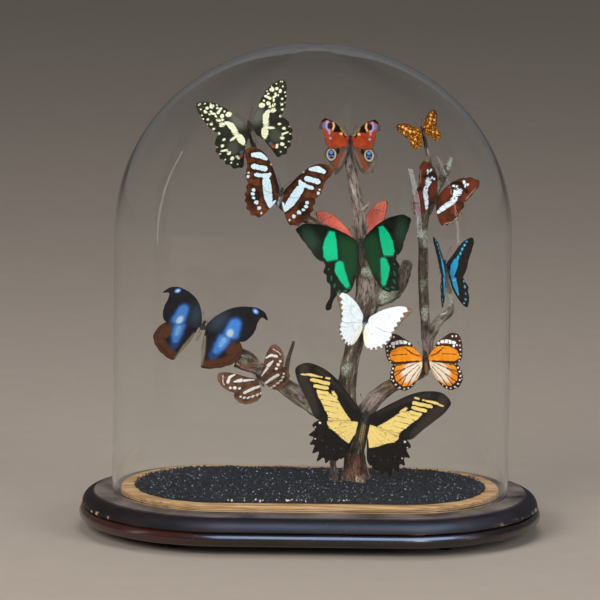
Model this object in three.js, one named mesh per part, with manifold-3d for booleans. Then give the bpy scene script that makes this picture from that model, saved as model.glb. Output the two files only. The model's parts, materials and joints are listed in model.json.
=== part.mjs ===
// An oval glass dome on a turned wooden base. Under it a bare branch stands on a board covered with
// dark grit, and thirteen mounted butterflies sit on the branch.
// Millimetres, +Z up, the front of the case faces -Y.
import * as THREE from 'three';
import { mergeVertices } from 'three/addons/utils/BufferGeometryUtils.js';
import Module from 'manifold-3d';

// ---- Driving dimensions ----
// Every oval of the case has straight sides of one length between two round ends.
const STRAIGHT_HALF_LENGTH = 76;
const GAP = 0.3; // clearance between neighbouring pieces

const FOOT_RADIUS = 7;
const FOOT_HEIGHT = 8;
const FOOT_X = 112;
const FOOT_Y = 72;

const BASE_HALF_WIDTH = 192;
const SHELF_HALF_WIDTH = 180;
const BASE_TOP = 32;

const BOARD_HALF_WIDTH = 157;
const BOARD_THICKNESS = 4;
const BOARD_BOTTOM = BASE_TOP + GAP;
const BOARD_TOP = BOARD_BOTTOM + BOARD_THICKNESS;

const SAND_HALF_WIDTH = 147;
const SAND_BOTTOM = BOARD_TOP + GAP;
const SAND_TOP = SAND_BOTTOM + 1.4;

const GLASS_HALF_WIDTH = 165;
const GLASS_WALL = 3;
const GLASS_FOOT = BASE_TOP + GAP;
const GLASS_SPRING = 254; // height where the straight wall turns into the arch
const GLASS_TOP = 410;

const OVAL_SEGMENTS = 38;
const LIMB_SIDES = 7;
const BODY_SIDES = 6;
const WING_THICKNESS = 0.6;

// ---- Materials ----
const paint = (color, roughness, metalness = 0) => ({ color, roughness, metalness });
const POLISHED_WOOD = paint(0x21120d, 0.25);
const DARK_FOOT = paint(0x15171c, 0.5);
const PLYWOOD = paint(0xb38a5c, 0.6);
const GRIT = paint(0x2b2f38, 0.95);
const GLASS = { ...paint(0xf2f7f6, 0.03), transparent: true, opacity: 0.35 };
const BARK = paint(0x6b5a4c, 0.9);
const LICHEN_BARK = paint(0x7d7a6a, 0.95);
const FUR = paint(0x2c2622, 0.9);

// ---- Branch: each limb is a path of [x, y, z, radius] ----
const TRUNK = [
  [38, 22, SAND_TOP + GAP, 13],
  [38, 22, 48, 9.5],
  [37, 22, 62, 8],
  [39, 22, 78, 8],
  [38, 22, 92, 8.5],
];
const PROP_ROOT = [
  [37, 22, 74, 3.5],
  [25, 20, 66, 3.2],
  [19, 19, 54, 2.8],
  [20, 19, 46, 2.8],
  [20, 19, SAND_TOP + GAP, 3.6],
];
const LEFT_LIMB = [
  [36, 22, 83, 7],
  [22, 24, 86, 7.5],
  [8, 26, 95, 7.5],
  [-17, 28, 112, 7],
  [-41, 29, 128, 6.2],
  [-63, 29, 136, 5],
];
const LEFT_TWIG = [
  [-43, 29, 130, 3],
  [-51, 27, 141, 2.6],
  [-62, 24, 147, 2.4],
  [-76, 20, 156, 2],
  [-90, 18, 167, 1.6],
];
const LEFT_SPUR = [
  [-24, 28, 115, 2.6],
  [-21, 27, 128, 2],
  [-19, 25, 140, 1.7],
  [-15, 24, 154, 1.2],
];
const MIDDLE_LIMB = [
  [38, 22, 88, 7],
  [31, 22, 104, 7],
  [30, 22, 120, 7.5],
  [33, 22, 142, 7],
  [38, 22, 162, 7.5],
  [45, 23, 186, 11],
  [46, 23, 208, 10],
  [41, 22, 238, 6.2],
  [37, 22, 270, 5],
  [31, 21, 300, 4.2],
  [28, 20, 318, 3.2],
];
const MIDDLE_STUB = [
  [48, 23, 192, 6],
  [60, 24, 193, 7],
  [72, 25, 203, 6.5],
  [79, 25, 222, 4],
];
const UPPER_LEFT_BRANCH = [
  [41, 22, 234, 4.5],
  [18, 24, 245, 4.4],
  [-7, 24, 259, 3.8],
  [-28, 24, 271, 3],
  [-42, 27, 298, 2.4],
  [-50, 27, 318, 2],
  [-54, 22, 336, 1.7],
];
const RIGHT_LIMB = [
  [39, 22, 86, 6.5],
  [50, 24, 102, 6.5],
  [64, 27, 115, 6],
  [78, 28, 123, 5.5],
  [91, 26, 129, 5],
  [97, 25, 142, 4.4],
  [94, 24, 173, 4],
  [92, 24, 215, 4],
  [92, 24, 258, 3.8],
  [99, 24, 279, 3.6],
  [108, 24, 296, 3.6],
  [114, 23, 311, 2],
];
const RIGHT_SPUR = [
  [96, 25, 151, 3.2],
  [104, 25, 171, 3.8],
  [115, 25, 182, 3],
  [114, 24, 198, 2],
  [110, 23, 216, 1.5],
];
const TOP_RIGHT_TWIG = [
  [97, 24, 274, 2.4],
  [97, 24, 300, 1.9],
  [93, 23, 322, 1.6],
  [90, 20, 336, 1.3],
];

// ---- Butterflies ----
// at: middle of the thorax. heading: degrees the head leans to the left. lean: degrees the head
// tips away from the front. turn: degrees the back turns to the right. lift and sweep: degrees,
// left then right, that a pair of wings rises from flat and swings towards the head.
// fore and hind: half outlines in millimetres, x out from the body and y towards the head.
const BUTTERFLIES = {
  citrus: {
    at: [-53, 17, 336], heading: 20, lean: -14, turn: 8, lift: [12, 14], sweep: [3, -3],
    size: 1.05, body: 24, wing: 0x3a3c2c,
    fore: [[2, 3], [6, 10], [11, 18], [16, 25], [22, 31], [29, 35], [34, 36], [37, 34], [37, 29],
      [35, 21], [32, 13], [28, 7], [24, 3], [14, 0], [3, -2]],
    hind: [[3, 0], [14, 4], [24, 6], [29, 2], [32, -5], [32, -11], [30, -17], [27, -23],
      [23, -28], [18, -31], [14, -30], [12, -24], [8, -14], [3, -7]],
  },
  barred: {
    at: [-27, 15, 281], heading: -13, lean: -12, turn: -5, lift: [4, 3], sweep: [1, 1],
    size: 1.04, body: 20, wing: 0x5a2f18,
    fore: [[2, 3], [6, 11], [10, 18], [15, 25], [20, 30], [26, 33], [32, 33], [36, 30], [36, 25],
      [33, 20], [32, 14], [31, 7], [27, 3], [18, 1], [4, -2]],
    hind: [[4, 0], [17, 4], [25, 5], [28, 0], [28, -9], [26, -15], [23, -21], [18, -25],
      [12, -25], [8, -20], [4, -12], [2, -6]],
  },
  peacock: {
    at: [30, 13, 326], heading: 0, lean: -8, turn: -5, lift: [6, 9], sweep: [0, 1],
    size: 1.05, body: 21, wing: 0x96371b,
    fore: [[1, 3], [5, 8], [9, 13], [14, 17], [19, 19], [22, 18], [25, 11], [22, 10], [21, 6],
      [20, 1], [18, -4], [14, -6], [8, -5], [2, -3]],
    hind: [[2, -1], [8, -3], [15, -3], [18, -6], [19, -13], [17, -18], [17, -21], [14, -22],
      [13, -26], [9, -28], [6, -25], [4, -18], [2, -10]],
  },
  chequered: {
    at: [90, 16, 336], heading: 25, lean: 0, turn: -16, lift: [10, 19], sweep: [-4, -2],
    size: 1, body: 12, wing: 0xe88a12,
    fore: [[2, 2], [5, 6], [9, 10], [14, 13], [18, 13], [19, 9], [17, 4], [14, -1], [9, -3],
      [3, -2]],
    hind: [[3, 0], [9, -1], [14, -3], [15, -8], [12, -12], [8, -12], [5, -8], [2, -4]],
  },
  whiteband: {
    at: [101, 18, 276], heading: -20, lean: -1, turn: 4, lift: [43, 40], sweep: [15, 15],
    size: 0.96, body: 20, wing: 0x5a2f1c,
    fore: [[2, 3], [9, 13], [17, 20], [26, 24], [35, 25], [41, 23], [42, 19], [39, 14], [35, 8],
      [30, 3], [20, 1], [3, -2]],
    hind: [[3, 0], [20, 4], [28, 3], [29, -4], [26, -12], [21, -17], [14, -20], [8, -20],
      [5, -14], [2, -6]],
  },
  coral: {
    at: [37, 31, 236], heading: -10, lean: 0, turn: 180, lift: [16, 16], sweep: [0, 0],
    size: 1.04, body: 20, wing: 0xee6552,
    fore: [[2, 3], [5, 11], [10, 19], [16, 26], [23, 30], [29, 30], [29, 25], [26, 17], [22, 9],
      [17, 3], [3, -2]],
    hind: [[3, 0], [16, 5], [22, 0], [22, -11], [18, -18], [12, -20], [7, -18], [4, -10]],
  },
  emerald: {
    at: [40, 11, 238], heading: 1, lean: -9, turn: -7, lift: [17, 23], sweep: [-4, 10],
    size: 1.07, body: 28, wing: 0x0a3a22,
    fore: [[3, 4], [8, 10], [16, 16], [25, 21], [34, 24], [43, 25], [49, 22], [48, 17], [44, 10],
      [40, 3], [36, -4], [30, -8], [18, -7], [4, -3]],
    hind: [[4, -1], [18, -5], [28, -6], [31, -12], [31, -20], [29, -26], [28, -32], [28, -38],
      [32, -45], [32, -50], [29, -50], [27, -44], [24, -40], [18, -38], [12, -37], [8, -29],
      [4, -16]],
    brokenTail: [[28, -32], [25, -38], [18, -38]], // the right tail is lost
  },
  bluebottle: {
    at: [110, 18, 219], heading: 6, lean: 5, turn: 15, lift: [64, 53], sweep: [13, 3],
    size: 0.95, body: 26, wing: 0x1d1714,
    fore: [[2, 3], [7, 8], [14, 14], [21, 20], [28, 24], [34, 25], [35, 21], [32, 14], [28, 7],
      [25, 0], [21, -6], [17, -10], [11, -9], [3, -4]],
    hind: [[3, -2], [11, -6], [17, -8], [21, -14], [22, -21], [21, -27], [20, -33], [16, -36],
      [12, -34], [8, -27], [4, -15]],
  },
  white: {
    at: [44, 10, 176], heading: -9, lean: 0, turn: 9, lift: [32, 26], sweep: [2, -7],
    size: 1.04, body: 17, wing: 0xeaf4fb,
    fore: [[3, 3], [7, 8], [12, 13], [18, 17], [24, 20], [30, 21], [34, 20], [33, 15], [30, 10],
      [28, 5], [26, 0], [22, -3], [13, -3], [4, -2]],
    hind: [[4, 0], [13, 0], [22, -1], [25, -6], [23, -13], [19, -18], [14, -21], [9, -22],
      [5, -19], [2, -12], [1, -6]],
  },
  tiger: {
    at: [95, 15, 143], heading: 4, lean: -4, turn: -10, lift: [5, 12], sweep: [-2, -1],
    size: 1.03, body: 23, wing: 0xf08a10,
    fore: [[3, 2], [7, 8], [11, 14], [16, 18], [22, 22], [27, 22], [30, 20], [32, 14], [32, 7],
      [31, 1], [27, -3], [18, -3], [4, -2]],
    hind: [[4, 0], [15, 0], [24, -1], [29, -6], [31, -13], [30, -19], [26, -24], [20, -26],
      [14, -24], [9, -18], [4, -9]],
  },
  yellow: {
    at: [45, 11, 91], heading: -10, lean: 4, turn: 0, lift: [16, 16], sweep: [4, 0],
    size: 1.04, body: 31, wing: 0x17120f,
    fore: [[4, 4], [12, 12], [22, 20], [33, 28], [44, 33], [55, 35], [63, 33], [67, 28], [65, 22],
      [60, 15], [53, 7], [47, 0], [41, -7], [34, -8], [20, -5], [5, -2]],
    hind: [[5, 0], [18, -3], [32, -6], [38, -10], [41, -17], [39, -20], [39, -25], [35, -27],
      [35, -32], [29, -32], [31, -39], [26, -36], [22, -39], [18, -37], [13, -38], [10, -30],
      [7, -20], [4, -10]],
  },
  blue: {
    at: [-91, 13, 168], heading: -20, lean: -18, turn: 3, lift: [18, 8], sweep: [5, 6],
    size: 1.05, body: 22, wing: 0x10151f,
    fore: [[3, 4], [8, 13], [14, 20], [21, 25], [29, 28], [37, 29], [44, 27], [48, 21], [43, 22],
      [41, 17], [41, 10], [39, 3], [34, -3], [26, -3], [15, -2], [4, -2]],
    hind: [[4, 0], [15, -1], [26, -2], [33, -5], [36, -12], [36, -19], [32, -25], [26, -30],
      [18, -34], [9, -36], [7, -28], [4, -16]],
  },
  striped: {
    at: [-44, 18, 124], heading: 33, lean: -12, turn: 12, lift: [6, 18], sweep: [-6, -8],
    size: 1, body: 15, wing: 0x6a4026,
    fore: [[2, 1], [7, 8], [12, 16], [18, 23], [23, 26], [27, 22], [28, 15], [26, 8], [22, 3],
      [13, 2], [2, -2]],
    hind: [[2, 0], [13, 3], [22, 4], [26, -1], [25, -8], [21, -13], [14, -16], [8, -15],
      [4, -9]],
  },
};

// Insect body from tail to head: [place along the body, radius], both as parts of its length.
const BODY_PROFILE = [
  [-0.64, 0.03], [-0.45, 0.06], [-0.22, 0.066], [-0.1, 0.05], [0, 0.09], [0.12, 0.09],
  [0.19, 0.045], [0.27, 0.06],
];
const BODY_TAIL = -0.66;
const BODY_NOSE = 0.35;

// ---- Helpers ----
const wasm = await Module();
wasm.setup();
const group = new THREE.Group();
group.name = 'butterfly_specimen_dome';

function addPart(name, geometry, look) {
  geometry.computeVertexNormals();
  const mesh = new THREE.Mesh(geometry, new THREE.MeshStandardMaterial(look));
  mesh.name = name;
  group.add(mesh);
}

function toSolid(geometry) {
  const plain = geometry.clone();
  plain.deleteAttribute('normal');
  plain.deleteAttribute('uv');
  const merged = mergeVertices(plain, 1e-4);
  return new wasm.Manifold(new wasm.Mesh({
    numProp: 3,
    vertProperties: merged.attributes.position.array,
    triVerts: new Uint32Array(merged.index.array),
  }));
}

function toGeometry(solid) {
  const mesh = solid.getMesh();
  const geometry = new THREE.BufferGeometry();
  geometry.setAttribute('position', new THREE.BufferAttribute(mesh.vertProperties, 3));
  geometry.setIndex(new THREE.BufferAttribute(mesh.triVerts, 1));
  return geometry.toNonIndexed();
}

// Half a step of turn puts a point on each end of the oval and none on the middle of its sides.
function turned(profile) {
  const geometry = new THREE.LatheGeometry(profile.map(([r, z]) => new THREE.Vector2(r, z)), OVAL_SEGMENTS);
  return geometry.rotateY(Math.PI / OVAL_SEGMENTS).rotateX(Math.PI / 2);
}

// A turned profile of [half width, height], its round parted by the straight sides.
function ovalTurning(profile) {
  const geometry = turned(profile);
  const position = geometry.attributes.position;
  for (let i = 0; i < position.count; i += 1) {
    const x = position.getX(i);
    const y = position.getY(i);
    const r = Math.hypot(x, y);
    const end = r - STRAIGHT_HALF_LENGTH;
    if (end > 0) {
      position.setX(i, Math.sign(x) * STRAIGHT_HALF_LENGTH + (x / r) * end);
      position.setY(i, (y / r) * end);
    }
  }
  return geometry;
}

function quarterRound(fromR, fromZ, toR, toZ, steps, bulgeOut) {
  const arc = [];
  for (let i = 1; i < steps; i += 1) {
    const a = (i / steps) * (Math.PI / 2);
    const u = bulgeOut ? Math.sin(a) : 1 - Math.cos(a);
    const v = bulgeOut ? 1 - Math.cos(a) : Math.sin(a);
    arc.push([fromR + (toR - fromR) * u, fromZ + (toZ - fromZ) * v]);
  }
  return arc;
}

// A limb: rings around a smooth path, slightly lumpy, closed at both ends.
function limb(path, rowsPerStep = 2, lump = 0.08) {
  const curve = new THREE.CatmullRomCurve3(path.map(([x, y, z]) => new THREE.Vector3(x, y, z)));
  const rows = (path.length - 1) * rowsPerStep;
  const radiusAt = (u) => {
    const place = Math.min(u * (path.length - 1), path.length - 1.0001);
    const i = Math.floor(place);
    return path[i][3] + (path[i + 1][3] - path[i][3]) * (place - i);
  };
  const profile = [new THREE.Vector2(0, 0)];
  for (let i = 0; i <= rows; i += 1) profile.push(new THREE.Vector2(radiusAt(i / rows), i));
  profile.push(new THREE.Vector2(0, rows));
  const geometry = new THREE.LatheGeometry(profile, LIMB_SIDES);
  const position = geometry.attributes.position;
  const across = new THREE.Vector3();
  const outward = new THREE.Vector3();
  for (let i = 0; i < position.count; i += 1) {
    const row = Math.round(position.getY(i));
    const centre = curve.getPoint(row / rows);
    const along = curve.getTangent(row / rows);
    if (row === 0 || row === rows) along.set(0, 0, Math.sign(along.z)).lerp(along, 0.5).normalize();
    across.set(0, 1, 0).cross(along).normalize();
    outward.copy(across).cross(along);
    const x = position.getX(i);
    const z = position.getZ(i);
    const swell = 1 + lump * Math.sin(2 * Math.atan2(z, x) + row * 1.9);
    centre.addScaledVector(across, x * swell).addScaledVector(outward, z * swell);
    position.setXYZ(i, centre.x, centre.y, centre.z);
  }
  return geometry;
}

const thicken = (path, extra) => path.map(([x, y, z, r]) => [x, y, z, r + extra]);

// A limb that grows out of another one stops a hair short of it.
function limbFrom(path, parents) {
  let solid = toSolid(limb(path));
  for (const parent of parents) solid = solid.subtract(toSolid(limb(thicken(parent, GAP))));
  const pieces = solid.decompose();
  pieces.sort((a, b) => b.volume() - a.volume());
  return toGeometry(pieces[0]);
}

function bodyGeometry(length, extra = 0) {
  const profile = [
    new THREE.Vector2(0, BODY_TAIL * length - extra),
    ...BODY_PROFILE.map(([z, r]) => new THREE.Vector2(r * length + extra, z * length)),
    new THREE.Vector2(0, BODY_NOSE * length + extra),
  ];
  const geometry = new THREE.LatheGeometry(profile, BODY_SIDES);
  geometry.rotateX(Math.PI / 2);
  return geometry;
}

// side is +1 for the right pair and -1 for the left pair.
function wingPlate(outline, side, size) {
  const shape = new THREE.Shape(outline.map(([x, y]) => new THREE.Vector2(side * x * size, y * size)));
  const geometry = new THREE.ExtrudeGeometry(shape, { depth: WING_THICKNESS, bevelEnabled: false });
  geometry.translate(0, 0, -WING_THICKNESS / 2);
  return geometry;
}

function wingPair(fly, side) {
  const index = side < 0 ? 0 : 1;
  const hind = side > 0 && fly.brokenTail ? withBrokenTail(fly.hind, fly.brokenTail) : fly.hind;
  const plates = [wingPlate(fly.fore, side, fly.size), wingPlate(hind, side, fly.size)];
  for (const plate of plates) {
    plate.rotateZ(side * THREE.MathUtils.degToRad(fly.sweep[index]));
    plate.rotateX(Math.PI / 2);
    plate.rotateZ(-side * THREE.MathUtils.degToRad(fly.lift[index]));
  }
  const [fore, back] = plates.map(toSolid);
  const joined = fore.add(back).subtract(toSolid(bodyGeometry(fly.body, GAP + 0.1)));
  const pieces = joined.decompose();
  pieces.sort((a, b) => b.volume() - a.volume());
  return toGeometry(pieces[0]);
}

// The stretch of outline between the stump's first and last point is replaced by the stump.
function withBrokenTail(outline, stump) {
  const same = (p, q) => p[0] === q[0] && p[1] === q[1];
  const from = outline.findIndex((p) => same(p, stump[0]));
  const to = outline.findIndex((p) => same(p, stump[stump.length - 1]));
  return [...outline.slice(0, from), ...stump, ...outline.slice(to + 1)];
}

function placement(fly) {
  const rad = THREE.MathUtils.degToRad;
  const pose = new THREE.Matrix4().makeTranslation(...fly.at);
  pose.multiply(new THREE.Matrix4().makeRotationZ(rad(fly.turn)));
  pose.multiply(new THREE.Matrix4().makeRotationX(rad(-fly.lean)));
  return pose.multiply(new THREE.Matrix4().makeRotationY(rad(-fly.heading)));
}

// ---- Feet ----
for (const [name, x, y] of [
  ['foot_front_left', -FOOT_X, -FOOT_Y],
  ['foot_front_right', FOOT_X, -FOOT_Y],
  ['foot_back_left', -FOOT_X, FOOT_Y],
  ['foot_back_right', FOOT_X, FOOT_Y],
]) {
  const profile = [[0, 0], [FOOT_RADIUS - 1, 0], [FOOT_RADIUS, 1], [FOOT_RADIUS, FOOT_HEIGHT - GAP],
    [0, FOOT_HEIGHT - GAP]].map(([r, z]) => new THREE.Vector2(r, z));
  const foot = new THREE.LatheGeometry(profile, 12);
  foot.rotateX(Math.PI / 2);
  foot.translate(x, y, 0);
  addPart(name, foot, DARK_FOOT);
}

// ---- Base: half-round below, a narrow quirk, quarter-round above, then the shelf ----
const ROLL_BOTTOM = FOOT_HEIGHT;
const ROLL_TOP = 19.6;
const QUIRK_TOP = ROLL_TOP + 0.9;
const QUIRK_HALF_WIDTH = BASE_HALF_WIDTH - 5;
const OVOLO_HALF_WIDTH = BASE_HALF_WIDTH - 2.2;
const OVOLO_TOP = 30.6;
addPart('base_plinth', ovalTurning([
  [0, ROLL_BOTTOM],
  [BASE_HALF_WIDTH - 5, ROLL_BOTTOM],
  ...quarterRound(BASE_HALF_WIDTH - 5, ROLL_BOTTOM, BASE_HALF_WIDTH, (ROLL_BOTTOM + ROLL_TOP) / 2, 3, true),
  [BASE_HALF_WIDTH, (ROLL_BOTTOM + ROLL_TOP) / 2],
  ...quarterRound(BASE_HALF_WIDTH, (ROLL_BOTTOM + ROLL_TOP) / 2, QUIRK_HALF_WIDTH, ROLL_TOP, 3, false),
  [QUIRK_HALF_WIDTH, ROLL_TOP],
  [QUIRK_HALF_WIDTH, QUIRK_TOP],
  [OVOLO_HALF_WIDTH, QUIRK_TOP],
  ...quarterRound(OVOLO_HALF_WIDTH, QUIRK_TOP, SHELF_HALF_WIDTH + 1, OVOLO_TOP, 4, false),
  [SHELF_HALF_WIDTH + 1, OVOLO_TOP],
  [SHELF_HALF_WIDTH, OVOLO_TOP + 0.2],
  [SHELF_HALF_WIDTH - 0.6, BASE_TOP],
  [0, BASE_TOP],
]), POLISHED_WOOD);

// ---- Board and grit ----
addPart('display_board', ovalTurning([
  [0, BOARD_BOTTOM],
  [BOARD_HALF_WIDTH, BOARD_BOTTOM],
  [BOARD_HALF_WIDTH, BOARD_TOP - 0.5],
  [BOARD_HALF_WIDTH - 0.5, BOARD_TOP],
  [0, BOARD_TOP],
]), PLYWOOD);
addPart('sand_bed', ovalTurning([
  [0, SAND_BOTTOM],
  [SAND_HALF_WIDTH, SAND_BOTTOM],
  [SAND_HALF_WIDTH - 0.8, SAND_TOP - 0.3],
  [SAND_HALF_WIDTH - 3, SAND_TOP],
  [0, SAND_TOP],
]), GRIT);

// ---- Glass: outer skin up to the crown, then the inner skin back down to the foot ----
const ARCH_STEPS = 7;
const glassProfile = [];
const innerWidth = GLASS_HALF_WIDTH - GLASS_WALL;
for (let i = 0; i <= ARCH_STEPS; i += 1) {
  const a = (i / ARCH_STEPS) * (Math.PI / 2);
  glassProfile.push([GLASS_HALF_WIDTH * Math.cos(a), GLASS_SPRING + (GLASS_TOP - GLASS_SPRING) * Math.sin(a)]);
}
for (let i = ARCH_STEPS; i >= 0; i -= 1) {
  const a = (i / ARCH_STEPS) * (Math.PI / 2);
  const rise = GLASS_TOP - GLASS_WALL - GLASS_SPRING;
  glassProfile.push([innerWidth * Math.cos(a), GLASS_SPRING + rise * Math.sin(a)]);
}
const lastOuter = ARCH_STEPS;
glassProfile[lastOuter][0] = 0;
glassProfile[lastOuter + 1][0] = 0;
const foot = [[innerWidth, GLASS_FOOT], [GLASS_HALF_WIDTH, GLASS_FOOT]];
const skins = [...foot, ...glassProfile, foot[0]];
const glass = turned(skins);
const skin = glass.attributes.position;
for (let i = 0; i < skin.count; i += 1) {
  const row = i % skins.length;
  const outside = row >= 1 && row <= lastOuter + 2;
  const halfWidth = outside ? GLASS_HALF_WIDTH : innerWidth;
  const halfDepth = halfWidth - STRAIGHT_HALF_LENGTH;
  const x = skin.getX(i);
  skin.setX(i, Math.sign(x) * STRAIGHT_HALF_LENGTH * (skins[row][0] / halfWidth) + x * (halfDepth / halfWidth));
  skin.setY(i, skin.getY(i) * (halfDepth / halfWidth));
}
addPart('glass_dome', glass, GLASS);

// ---- Branch ----
addPart('trunk', limb(TRUNK), BARK);
addPart('prop_root', limbFrom(PROP_ROOT, [TRUNK]), BARK);
addPart('left_limb', limbFrom(LEFT_LIMB, [TRUNK]), BARK);
addPart('left_twig', limbFrom(LEFT_TWIG, [LEFT_LIMB]), BARK);
addPart('left_spur', limbFrom(LEFT_SPUR, [LEFT_LIMB]), BARK);
addPart('middle_limb', limbFrom(MIDDLE_LIMB, [TRUNK, LEFT_LIMB]), BARK);
addPart('middle_stub', limbFrom(MIDDLE_STUB, [MIDDLE_LIMB]), LICHEN_BARK);
addPart('upper_left_branch', limbFrom(UPPER_LEFT_BRANCH, [MIDDLE_LIMB]), BARK);
addPart('right_limb', limbFrom(RIGHT_LIMB, [TRUNK, MIDDLE_LIMB, LEFT_LIMB]), BARK);
addPart('right_spur', limbFrom(RIGHT_SPUR, [RIGHT_LIMB]), LICHEN_BARK);
addPart('top_right_twig', limbFrom(TOP_RIGHT_TWIG, [RIGHT_LIMB]), BARK);

// ---- Butterflies ----
for (const [name, fly] of Object.entries(BUTTERFLIES)) {
  const pose = placement(fly);
  addPart(`${name}_body`, bodyGeometry(fly.body).applyMatrix4(pose), FUR);
  addPart(`${name}_left_wings`, wingPair(fly, -1).applyMatrix4(pose), paint(fly.wing, 0.7));
  addPart(`${name}_right_wings`, wingPair(fly, 1).applyMatrix4(pose), paint(fly.wing, 0.7));
}

export default group;
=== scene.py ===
# %% [markdown]
# # A dome of mounted butterflies
# A tall oval glass dome stands on a dark polished base. Inside, a bare branch rises from a board
# covered with black grit, and thirteen butterflies sit on it. The solid model of the case is
# loaded first as a fixed frame, so that every finer piece can be built in its place.
# %% Load the frame
import json
import math
import random

import bpy
import numpy as np
from mathutils import Matrix, Vector, noise
from mathutils.geometry import delaunay_2d_cdt

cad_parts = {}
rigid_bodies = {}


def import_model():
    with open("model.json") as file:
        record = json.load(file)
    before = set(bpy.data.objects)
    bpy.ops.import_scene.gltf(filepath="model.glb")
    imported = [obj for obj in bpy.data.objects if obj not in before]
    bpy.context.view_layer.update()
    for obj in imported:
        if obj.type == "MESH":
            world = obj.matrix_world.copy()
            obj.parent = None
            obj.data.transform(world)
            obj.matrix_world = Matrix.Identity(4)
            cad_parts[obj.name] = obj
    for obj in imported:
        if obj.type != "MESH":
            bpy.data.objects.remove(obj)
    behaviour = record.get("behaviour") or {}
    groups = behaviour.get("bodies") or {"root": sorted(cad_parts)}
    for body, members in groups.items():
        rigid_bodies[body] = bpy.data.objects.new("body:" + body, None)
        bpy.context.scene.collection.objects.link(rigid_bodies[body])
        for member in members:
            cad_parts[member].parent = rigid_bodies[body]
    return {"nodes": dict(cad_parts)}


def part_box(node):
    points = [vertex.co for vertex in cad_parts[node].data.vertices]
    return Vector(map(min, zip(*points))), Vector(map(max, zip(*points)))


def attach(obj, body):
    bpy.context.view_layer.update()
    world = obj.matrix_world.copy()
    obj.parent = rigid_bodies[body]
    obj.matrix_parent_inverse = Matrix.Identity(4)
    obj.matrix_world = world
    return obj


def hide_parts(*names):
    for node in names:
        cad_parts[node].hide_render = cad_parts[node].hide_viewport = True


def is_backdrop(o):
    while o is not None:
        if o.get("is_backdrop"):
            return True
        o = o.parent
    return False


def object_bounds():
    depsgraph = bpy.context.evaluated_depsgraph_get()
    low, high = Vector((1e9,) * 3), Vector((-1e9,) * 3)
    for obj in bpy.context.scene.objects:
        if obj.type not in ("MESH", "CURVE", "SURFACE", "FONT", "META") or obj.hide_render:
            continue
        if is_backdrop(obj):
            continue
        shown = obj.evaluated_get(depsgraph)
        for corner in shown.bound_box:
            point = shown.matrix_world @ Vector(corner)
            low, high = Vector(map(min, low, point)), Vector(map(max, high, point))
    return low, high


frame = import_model()
cad_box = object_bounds()
MM = 0.001  # everything below is written in millimetres and turned to metres at the end
print("nodes in the frame:", len(frame["nodes"]))

# %% [markdown]
# ## Camera
# A very long lens from twelve metres away keeps the verticals of the case parallel. It looks
# slightly down, so the oval of the base opens up, and it is rolled by less than a degree
# because the case leans a little to the right.
# %% Make the camera
CAMERA_AWAY = 12000
CAMERA_RISE = math.radians(11.38)
CAMERA_ROLL = 0.0119
CAMERA_AIM = Vector((-10.2, 0, 194.1))
SENSOR = 36
LENS = 866.8

lens_data = bpy.data.cameras.new("camera")
lens_data.sensor_width = SENSOR
lens_data.lens = LENS
lens_data.clip_end = 40
camera = bpy.data.objects.new("camera", lens_data)
bpy.context.scene.collection.objects.link(camera)
back = Vector((0, -math.cos(CAMERA_RISE), math.sin(CAMERA_RISE)))
look = Matrix.Rotation(math.pi / 2 - CAMERA_RISE, 4, "X") @ Matrix.Rotation(CAMERA_ROLL, 4, "Z")
camera.matrix_world = Matrix.Translation((CAMERA_AIM + back * CAMERA_AWAY) * MM) @ look
bpy.context.scene.camera = camera
bpy.context.scene.view_settings.view_transform = "Standard"
print("camera at", [round(v, 3) for v in camera.matrix_world.translation])

# %% [markdown]
# ## Light
# Large soft lights stand in for a room with windows. Their size matters more than their power:
# the polished wood and the glass show each light as a soft patch, and a small lamp would show as
# a hard dot. The lights that shape the piece are kept out of reflections, and separate strips
# give the shine. A dim sky fills the shadows.
# %% Make the lights
def soft_light(name, place, aim, width, height, power, colour):
    data = bpy.data.lights.new(name, "AREA")
    data.shape = "RECTANGLE"
    data.size = width
    data.size_y = height
    data.energy = power
    data.color = colour
    light = bpy.data.objects.new(name, data)
    light.visible_camera = False
    bpy.context.scene.collection.objects.link(light)
    towards = Vector(aim) - Vector(place)
    light.matrix_world = Matrix.Translation(place) @ towards.to_track_quat("-Z", "Y").to_matrix().to_4x4()
    return light


MIDDLE = (0, 0, 0.22)
fill_lights = [
    soft_light("front_left", (-1.3, -1.7, 1.35), MIDDLE, 1.3, 1.3, 58, (1.0, 0.98, 0.95)),
    soft_light("front_right", (1.7, -1.3, 0.9), MIDDLE, 0.8, 1.3, 32, (0.93, 0.96, 1.0)),
    soft_light("overhead", (0.1, 0.25, 1.8), MIDDLE, 1.3, 1.0, 15, (1.0, 0.98, 0.96)),
]
for light in fill_lights:
    light.visible_glossy = False
    light.visible_transmission = False
# These are seen only as shine: strips at the sides and front for the glass, and a wide one high
# up for the polish.
shine_lights = [
    soft_light("strip_left", (-1.5, -0.5, 0.5), MIDDLE, 0.07, 1.3, 1.6, (0.95, 0.97, 1.0)),
    soft_light("strip_right", (1.5, -0.9, 0.6), MIDDLE, 0.08, 1.3, 2.0, (0.88, 0.94, 1.0)),
    soft_light("strip_front", (0.52, -1.55, 0.52), MIDDLE, 0.16, 0.85, 5.0, (0.92, 0.96, 1.0)),
    soft_light("window", (0.55, -1.3, 1.3), MIDDLE, 1.7, 1.3, 56.0, (0.5, 0.66, 1.0)),
]
for light in shine_lights:
    light.visible_diffuse = False
    light.visible_transmission = False

sky = bpy.data.worlds.new("sky")
sky.use_nodes = True
sky.node_tree.nodes["Background"].inputs["Color"].default_value = (0.86, 0.88, 0.92, 1)
sky.node_tree.nodes["Background"].inputs["Strength"].default_value = 0.13
bpy.context.scene.world = sky

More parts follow.
